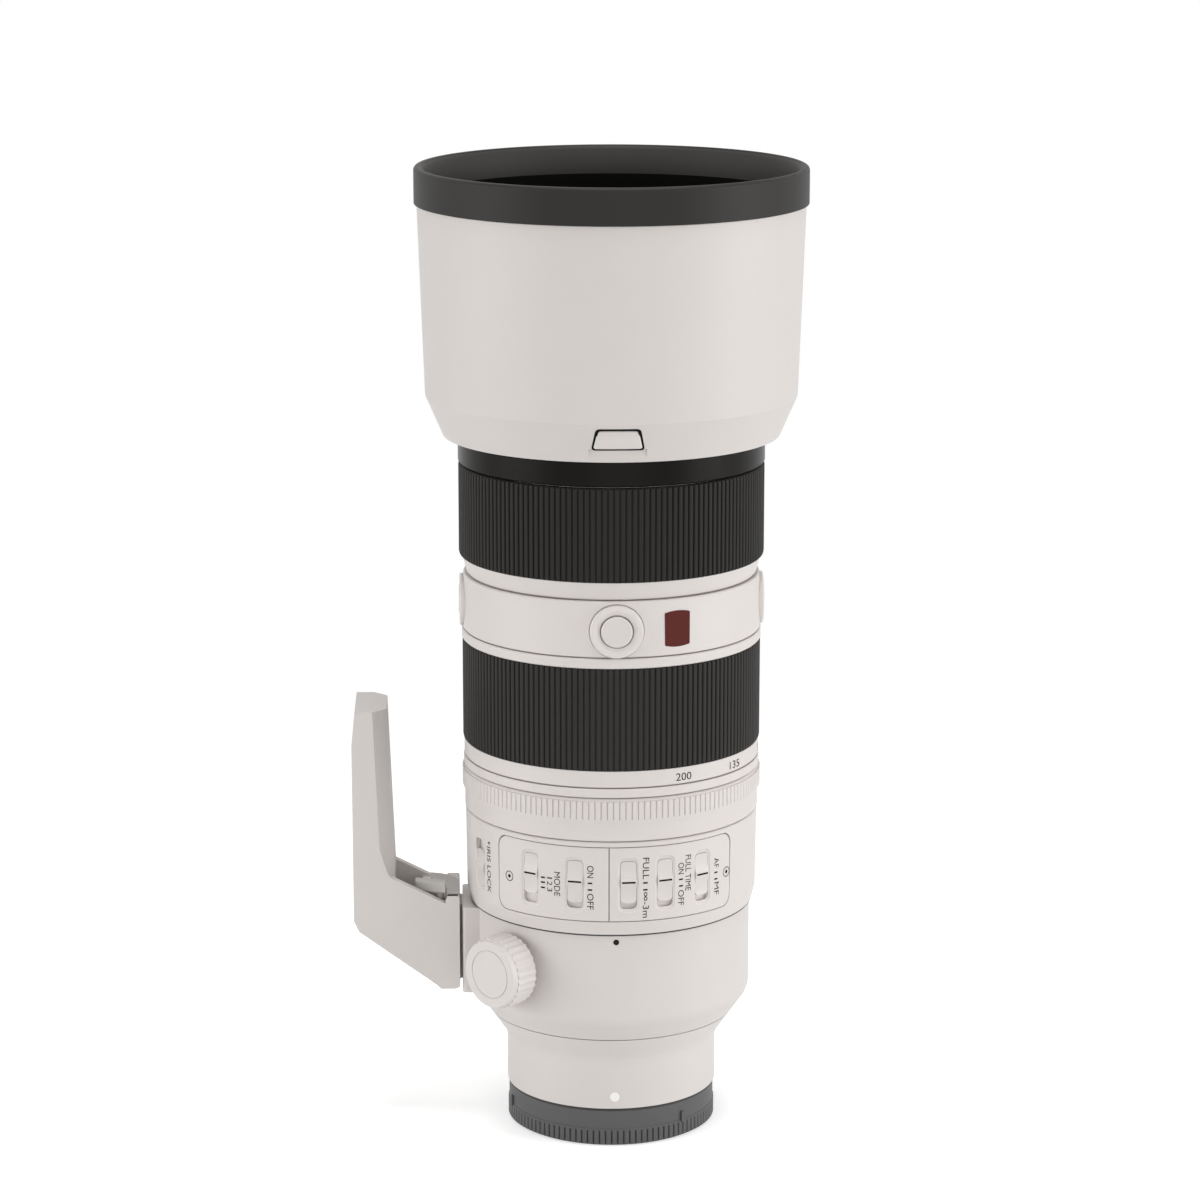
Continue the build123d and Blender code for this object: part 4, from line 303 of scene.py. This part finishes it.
rubber_grip("zoom_rubber", "zoom_grip", ZOOM_RIBS, ZOOM_WALL, "zoom_ring", "zoom_grip_rubber")
rubber_grip("focus_rubber", "focus_grip", FOCUS_RIBS, FOCUS_WALL, "focus_ring", "grip_rubber")

# The hood's dark lining, and above it a lighter rubber skin on the bumper's inner wall, painted light
# that falls into the hood's mouth

LINING = [(40.95, 212.1), (40.95, 213.4), (46.55, 213.4), (51.2, 219.0), (53.1, 271.4), (53.12, 273.6)]
MOUTH = [(53.15, 273.6), (53.15, 280.9), (53.8, 281.55)]
turned_skin("hood_lining", LINING, "hood_inside", "hood")
turned_skin("hood_mouth", MOUTH, "mouth_painted_light", "hood")

# A painted shadow round the hood's release button: a black band laid just above the hood's lower cone,
# over the gap round the button and its edge

CONE_LOW_R = 48.4
CONE_HIGH_R = 53.3
CONE_Z = 205.7
CONE_HEIGHT = 11.3
SHADOW_SIDE = 0.8
SHADOW_END = 0.5
SHADOW_TUCK = 0.05
GAP_LEAN = 1.2
OUTER_ROUND = 1.2
INNER_ROUND = 0.6
CORNER_STEPS = 4


def on_cone(x, height):
    """The point of the hood's cone at a place across and a height, on the side that faces -Y."""
    radius = CONE_LOW_R + (CONE_HIGH_R - CONE_LOW_R) * (height - CONE_Z) / CONE_HEIGHT + MARK_LIFT
    return (x, -math.sqrt(radius**2 - x**2), height)


def round_corners(corners, reach):
    """The points of an outline whose corners are rounded off over a reach along both sides."""
    points = []
    for index, corner in enumerate(corners):
        here = Vector(corner)
        start = here + (Vector(corners[index - 1]) - here).normalized() * reach
        end = here + (Vector(corners[(index + 1) % len(corners)]) - here).normalized() * reach
        for step in range(CORNER_STEPS + 1):
            along = step / CORNER_STEPS
            points.append(start * (1 - along) ** 2 + here * 2 * along * (1 - along) + end * along**2)
    return points


button_low, button_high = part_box("hood_button")
button_half = button_high[0] / METRE
button_bottom = button_low[2] / METRE
button_top = button_high[2] / METRE


def button_line(side, end, reach):
    """The button's trapezium grown by a margin at its sides and another at its ends."""
    low_half = button_half + side
    high_half = low_half - GAP_LEAN
    corners = [
        (-low_half, button_bottom - end),
        (low_half, button_bottom - end),
        (high_half, button_top + end),
        (-high_half, button_top + end),
    ]
    return round_corners(corners, reach)


shadow_outer = button_line(SHADOW_SIDE, SHADOW_END, OUTER_ROUND)
shadow_inner = button_line(-SHADOW_TUCK, 0, INNER_ROUND)
shadow_points = [on_cone(x, height) for x, height in shadow_outer + shadow_inner]
shadow_faces = loop_faces(len(shadow_outer), 0, len(shadow_outer))
# A black band of painted shadow round the button
piece("button_painted_shadow", shadow_points, shadow_faces, "line_black", "hood")

# The lever of the foot's lock: a short tab with rounded edges, on its pin

TAB_RIGHT = (-48.6, -10.4)
TAB_LEFT = (-57.6, -7.6)
TAB_DEPTH = 3.7
TAB_LOW = 70.9
TAB_HIGH = 74.2
TAB_ROUND = 0.5
TAB_ROUND_STEPS = 3
PIN_X = -50.4
PIN_Y = -7.0
PIN_R = 1.3
PIN_SIDES = 32

lever_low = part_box("foot_lever")[0]
tab_outline = [TAB_LEFT, TAB_RIGHT] + [(x, y + TAB_DEPTH) for x, y in (TAB_RIGHT, TAB_LEFT)]
pin_outline = []
for side in range(PIN_SIDES):
    angle = FULL_TURN * side / PIN_SIDES
    pin_outline.append((PIN_X + PIN_R * math.cos(angle), PIN_Y + PIN_R * math.sin(angle)))
tab_points = raised(tab_outline, TAB_LOW) + raised(tab_outline, TAB_HIGH)
tab_faces = prism_faces(len(tab_outline), 0) + prism_faces(PIN_SIDES, len(tab_points))
tab_points += raised(pin_outline, lever_low[2] / METRE) + raised(pin_outline, TAB_HIGH - TAB_ROUND)
lever = piece("lever_tab", tab_points, tab_faces, "lever_metal", "foot_lever")
edge_round = lever.modifiers.new("edge_round", "BEVEL")
edge_round.width = TAB_ROUND * METRE
edge_round.segments = TAB_ROUND_STEPS
edge_round.limit_method = "ANGLE"
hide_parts("foot_lever")

# The plate that closes the foot's lock from above, with a black sheet of painted shadow along its near
# edge

COVER_TOP = 70.85
COVER_LOW = 70.52
COVER_OUTLINE = [
    (-48.4, -9.9),
    (-45.0, -9.9),
    (-45.0, 4.1),
    (-46.0, 6.8),
    (-48.0, 9.3),
    (-50.5, 10.8),
    (-53.1, 11.6),
    (-53.1, 6.0),
    (-48.4, -4.0),
]
PLATE_SHADOW_OUTLINE = [(-48.1, -11.3), (-45.0, -11.3), (-45.0, -9.9), (-48.1, -9.9)]

cover_points = raised(COVER_OUTLINE, COVER_LOW) + raised(COVER_OUTLINE, COVER_TOP)
piece("lock_plate", cover_points, prism_faces(len(COVER_OUTLINE), 0), "lock_metal", "foot")
# A flat black sheet in front of the plate: painted shadow along its near edge
piece("lock_plate_painted_shadow", raised(PLATE_SHADOW_OUTLINE, COVER_LOW + MARK_LIFT), [(0, 1, 2, 3)], "line_black", "foot")

# A painted shadow under the housing's lower edge: a dark ring laid on the gap between the collar and the
# housing

COLLAR_SHADOW = [(41.15, 67.35), (41.15, 67.8)]
turned_skin("collar_painted_shadow", COLLAR_SHADOW, "seal_rubber", "barrel")

# Lettering

LETTER = 1.85
LETTER_STEPS = 4


def flat_text(words):
    """A line of text: its points as (share of its length, rise), and its faces."""
    curve = bpy.data.curves.new("line", "FONT")
    curve.body = words
    curve.resolution_u = LETTER_STEPS
    holder = bpy.data.objects.new("line", curve)
    bpy.context.scene.collection.objects.link(holder)
    bpy.context.view_layer.update()
    mesh = bpy.data.meshes.new_from_object(holder.evaluated_get(bpy.context.evaluated_depsgraph_get()))
    points = [(vertex.co.x, vertex.co.y) for vertex in mesh.vertices]
    faces = [tuple(face.vertices) for face in mesh.polygons]
    bpy.data.objects.remove(holder)
    bpy.data.curves.remove(curve)
    bpy.data.meshes.remove(mesh)
    start = min(x for x, rise in points)
    length = max(x for x, rise in points) - start
    return [((x - start) / length, rise) for x, rise in points], faces


def text_down(name, words, azimuth, top, bottom, tall, skin=plate_skin):
    """A word that reads downwards between two heights, its capitals' height across the barrel."""
    points, faces = flat_text(words)
    crest = max(rise for share, rise in points)
    foot = min(0, min(rise for share, rise in points))
    on_skin = []
    for share, rise in points:
        height = top - share * (top - bottom)
        radius = skin(height)
        across = (rise - (crest + foot) / 2) * tall / (crest - foot)
        on_skin.append(polar(azimuth + math.degrees(across / radius), radius + MARK_LIFT, height))
    piece(name, on_skin, faces, "ink", "barrel")


# The switch plates' words

for name, words, azimuth, top, bottom in (
    ("mode", "MODE", -23.3, 85.85, 78.75),
    ("on_left", "ON", -10.05, 88.4, 84.85),
    ("off_left", "OFF", -10.05, 80.2, 75.5),
    ("full", "FULL", 11.4, 90.6, 84.3),
    ("near", "∞-3m", 11.4, 80.5, 72.9),
    ("on_right", "ON", 25.95, 88.0, 84.65),
    ("off_right", "OFF", 25.95, 79.9, 75.4),
    ("full_time", "FULL TIME", 29.1, 90.0, 79.45),
    ("auto", "AF", 43.3, 87.25, 84.3),
    ("manual", "MF", 43.4, 79.95, 76.2),
):
    text_down("word_" + name, words, azimuth, top, bottom, LETTER)

DIGIT = 1.6
DIGIT_AZIMUTH = -26.4
for name, words, top, bottom in (
    ("one", "1", 84.0, 83.6),
    ("two", "2", 82.85, 81.65),
    ("three", "3", 80.95, 79.8),
):
    text_down("digit_" + name, words, DIGIT_AZIMUTH, top, bottom, DIGIT)

# The housing's own words, and a mark that points to the slider beside them

LOCK_AZIMUTH = -58.1
LOCK_WORDS_TOP = 88.6
LOCK_WORDS_BOTTOM = 74.9
text_down(
    "word_lock", "IRIS LOCK", LOCK_AZIMUTH, LOCK_WORDS_TOP, LOCK_WORDS_BOTTOM, LETTER, skin=housing_skin
)
LOCK_MARK = [(-58.9, 89.8), (-57.3, 90.3), (-57.3, 89.3)]
pointer = [polar(azimuth, housing_skin(height) + MARK_LIFT, height) for azimuth, height in LOCK_MARK]
piece("lock_pointer", pointer, [(0, 2, 1)], "ink", "barrel")

# Ticks beside the sliders

TICK_WIDTH = 1.3
TICK_TALL = 0.46
TICK_STEPS = 4


def tick(name, azimuth, height):
    """A short painted line across a switch plate."""
    vertices = []
    for step in range(TICK_STEPS + 1):
        turn = azimuth + math.degrees((step / TICK_STEPS - 0.5) * TICK_WIDTH / PLATE_R)
        for rise in (-TICK_TALL / 2, TICK_TALL / 2):
            vertices.append(polar(turn, PLATE_R + MARK_LIFT, height + rise))
    faces = [(2 * step, 2 * step + 2, 2 * step + 3, 2 * step + 1) for step in range(TICK_STEPS)]
    piece(name, vertices, faces, "line_black", "barrel")


for name, azimuth, heights in (
    ("mode", -29.3, (83.75, 82.3, 80.75)),
    ("on_left", -10.2, (83.25, 81.3)),
    ("full", 11.2, (83.2, 81.15)),
    ("on_right", 25.9, (83.1, 81.15)),
    ("auto", 43.0, (82.9, 80.95)),
):
    for count, height in enumerate(heights):
        tick(f"tick_{name}_{count}", azimuth, height)

# The line along each slider's ridge

RIDGE_R = 42.55
RIDGE_LINE = 3.9
RIDGE_LINE_TALL = 0.52


def ridge_line(slider, azimuth, height):
    """A painted line on a slider's ridge, which is flat and square to its azimuth."""
    turn = math.radians(azimuth)
    distance = RIDGE_R + MARK_LIFT
    vertices = []
    for across in (-RIDGE_LINE / 2, RIDGE_LINE / 2):
        x = distance * math.sin(turn) + across * math.cos(turn)
        y = across * math.sin(turn) - distance * math.cos(turn)
        for rise in (-RIDGE_LINE_TALL / 2, RIDGE_LINE_TALL / 2):
            vertices.append((x, y, height + rise))
    piece("line_" + slider, vertices, [(0, 2, 3, 1)], "line_black", slider)


for slider, azimuth, height in (
    ("mode_slider", -35.0, 84.4),
    ("stabiliser_slider", -16.2, 83.5),
    ("range_slider", 4.7, 83.5),
    ("override_slider", 19.3, 83.5),
    ("focus_mode_slider", 35.8, 83.5),
):
    ridge_line(slider, azimuth, height)

# The plates' screws: a black dot of painted shade in each socket, and a fine line round each head

CIRCLE_SIDES = 32
DOT_SIDES = 24
SCREW_Z = 82.1
SOCKET_SHADOW_R = 0.525
SCREW_R = 1.3
SCREW_LINE = 0.22


def dot(name, azimuth, height, reach, body, radius, look):
    """A round painted dot on a round skin."""
    vertices = [polar(azimuth, radius + MARK_LIFT, height)]
    vertices += skin_circle(azimuth, height, reach, radius, DOT_SIDES)
    faces = [(0, side + 1, (side + 1) % DOT_SIDES + 1) for side in range(DOT_SIDES)]
    piece(name, vertices, faces, look, body)


for name, azimuth in (("left", -45.45), ("right", 49.2)):
    dot("screw_" + name, azimuth, SCREW_Z, SOCKET_SHADOW_R, "barrel", PLATE_R, "line_black")
    head = skin_circle(azimuth, SCREW_Z, SCREW_R + SCREW_LINE, PLATE_R, CIRCLE_SIDES)
    head += skin_circle(azimuth, SCREW_Z, SCREW_R, PLATE_R, CIRCLE_SIDES)
    head_faces = loop_faces(CIRCLE_SIDES, 0, CIRCLE_SIDES)
    piece("screw_line_" + name, head, head_faces, "ink", "barrel")

# Scale numbers on the zoom ring

SCALE_R = 42.8
SCALE_Z = 113.5
SCALE_TALL = 2.2
for words, azimuth, width in (
    ("200", 26.6, 5.0),
    ("135", 53.5, 5.0),
    ("100", 84.5, 5.0),
    ("70", 104.0, 3.2),
):
    points, faces = flat_text(words)
    crest = max(rise for share, rise in points)
    on_skin = []
    for share, rise in points:
        turn = azimuth + math.degrees((share - 0.5) * width / SCALE_R)
        on_skin.append(polar(turn, SCALE_R + MARK_LIFT, SCALE_Z + (rise / crest - 0.5) * SCALE_TALL))
    piece("scale_" + words, on_skin, faces, "ink", "zoom_ring")

# Index dot on the collar

COLLAR_R = 40.6
COLLAR_DOT_Z = 65.3
COLLAR_DOT_R = 0.85
dot("collar_dot", 0, COLLAR_DOT_Z, COLLAR_DOT_R, "collar", COLLAR_R, "ink")

# Floor and surroundings, in metres from here on

FLOOR_SIZE = 8
FLOOR_WHITE = 0.86
FLOOR_LIFT = 0.5
SHADE_REACH = 0.15
WHITE_REACH = 0.6
SKY_STRENGTH = 0.37


def plain_sight(nodes, links):
    """A value that is 1 on rays from the eye, and on those by way of a gloss or through glass."""
    path = nodes.new("ShaderNodeLightPath")
    value = path.outputs["Is Camera Ray"]
    for other in ("Is Glossy Ray", "Is Transmission Ray"):
        either = nodes.new("ShaderNodeMath")
        either.operation = "MAXIMUM"
        links.new(value, either.inputs[0])
        links.new(path.outputs[other], either.inputs[1])
        value = either.outputs["Value"]
    return value


def floor_material():
    """White to the eye far off, and near the object pale enough to keep its shadow."""
    material, nodes, links, cloth = new_material("floor")
    cloth.inputs["Base Color"].default_value = (FLOOR_WHITE, FLOOR_WHITE, FLOOR_WHITE, 1)
    cloth.inputs["Roughness"].default_value = 0.95
    cloth.inputs["Specular IOR Level"].default_value = 0.1
    lift = nodes.new("ShaderNodeEmission")
    lift.inputs["Strength"].default_value = FLOOR_LIFT
    bright = nodes.new("ShaderNodeAddShader")
    far = nodes.new("ShaderNodeEmission")
    far.inputs["Strength"].default_value = 1.0
    place = nodes.new("ShaderNodeNewGeometry")
    length = nodes.new("ShaderNodeVectorMath")
    length.operation = "LENGTH"
    spread = nodes.new("ShaderNodeMapRange")
    spread.interpolation_type = "SMOOTHSTEP"
    spread.inputs["From Min"].default_value = SHADE_REACH
    spread.inputs["From Max"].default_value = WHITE_REACH
    near_far = nodes.new("ShaderNodeMixShader")
    seen = nodes.new("ShaderNodeMixShader")
    links.new(cloth.outputs["BSDF"], bright.inputs[0])
    links.new(lift.outputs["Emission"], bright.inputs[1])
    links.new(place.outputs["Position"], length.inputs[0])
    links.new(length.outputs["Value"], spread.inputs["Value"])
    links.new(spread.outputs["Result"], near_far.inputs["Fac"])
    links.new(bright.outputs["Shader"], near_far.inputs[1])
    links.new(far.outputs["Emission"], near_far.inputs[2])
    links.new(plain_sight(nodes, links), seen.inputs["Fac"])
    links.new(cloth.outputs["BSDF"], seen.inputs[1])
    links.new(near_far.outputs["Shader"], seen.inputs[2])
    links.new(seen.outputs["Shader"], nodes["Material Output"].inputs["Surface"])
    return material


bpy.ops.mesh.primitive_plane_add(size=FLOOR_SIZE, location=(0, 0, 0))
floor = bpy.context.object
floor.name = "floor"
floor.data.materials.append(floor_material())

world = bpy.data.worlds.new("studio")
world.use_nodes = True
bpy.context.scene.world = world
world_nodes, world_links = world.node_tree.nodes, world.node_tree.links
sky = world_nodes["Background"]
sky.inputs["Color"].default_value = (1, 1, 1, 1)
sky.inputs["Strength"].default_value = SKY_STRENGTH
white = world_nodes.new("ShaderNodeBackground")
white.inputs["Color"].default_value = (1, 1, 1, 1)
white.inputs["Strength"].default_value = 1.0
seen = world_nodes.new("ShaderNodeMixShader")
world_links.new(plain_sight(world_nodes, world_links), seen.inputs["Fac"])
world_links.new(sky.outputs["Background"], seen.inputs[1])
world_links.new(white.outputs["Background"], seen.inputs[2])
world_links.new(seen.outputs["Shader"], world_nodes["World Output"].inputs["Surface"])

# Lamps and camera


def softbox(name, place, aim, side, power):
    """A large square lamp that faces a point."""
    data = bpy.data.lights.new(name, "AREA")
    data.shape = "SQUARE"
    data.size = side
    data.energy = power
    lamp = bpy.data.objects.new(name, data)
    lamp.location = place
    lamp.rotation_euler = (Vector(aim) - Vector(place)).to_track_quat("-Z", "Y").to_euler()
    bpy.context.scene.collection.objects.link(lamp)


LOWER_BARREL = (0, 0, 0.1)
softbox("left_box", place=(-1.3, -0.4, 0.3), aim=LOWER_BARREL, side=0.9, power=8.6)
softbox("right_box", place=(1.3, -0.4, 0.3), aim=LOWER_BARREL, side=0.9, power=11.2)
softbox("top_box", place=(0, -0.2, 1.5), aim=LOWER_BARREL, side=0.7, power=9)
softbox("front_box", place=(0.1, -1.6, 0.08), aim=(0, 0, 0.08), side=1.2, power=7)

CAMERA_PLACE = (-0.0393, -1.0847, 0.4032)
CAMERA_HEADING = (0.0332, 0.9995)
CAMERA_PITCH = math.radians(12.83)
FOCAL_LENGTH = 115.3
SENSOR_WIDTH = 36
camera_data = bpy.data.cameras.new("camera")
camera_data.lens = FOCAL_LENGTH
camera_data.sensor_width = SENSOR_WIDTH
camera = bpy.data.objects.new("camera", camera_data)
camera.location = CAMERA_PLACE
level = math.cos(CAMERA_PITCH)
forward = Vector((CAMERA_HEADING[0] * level, CAMERA_HEADING[1] * level, -math.sin(CAMERA_PITCH)))
camera.rotation_euler = forward.to_track_quat("-Z", "Y").to_euler()
bpy.context.scene.collection.objects.link(camera)
bpy.context.scene.camera = camera
bpy.context.scene.view_settings.view_transform = "Standard"
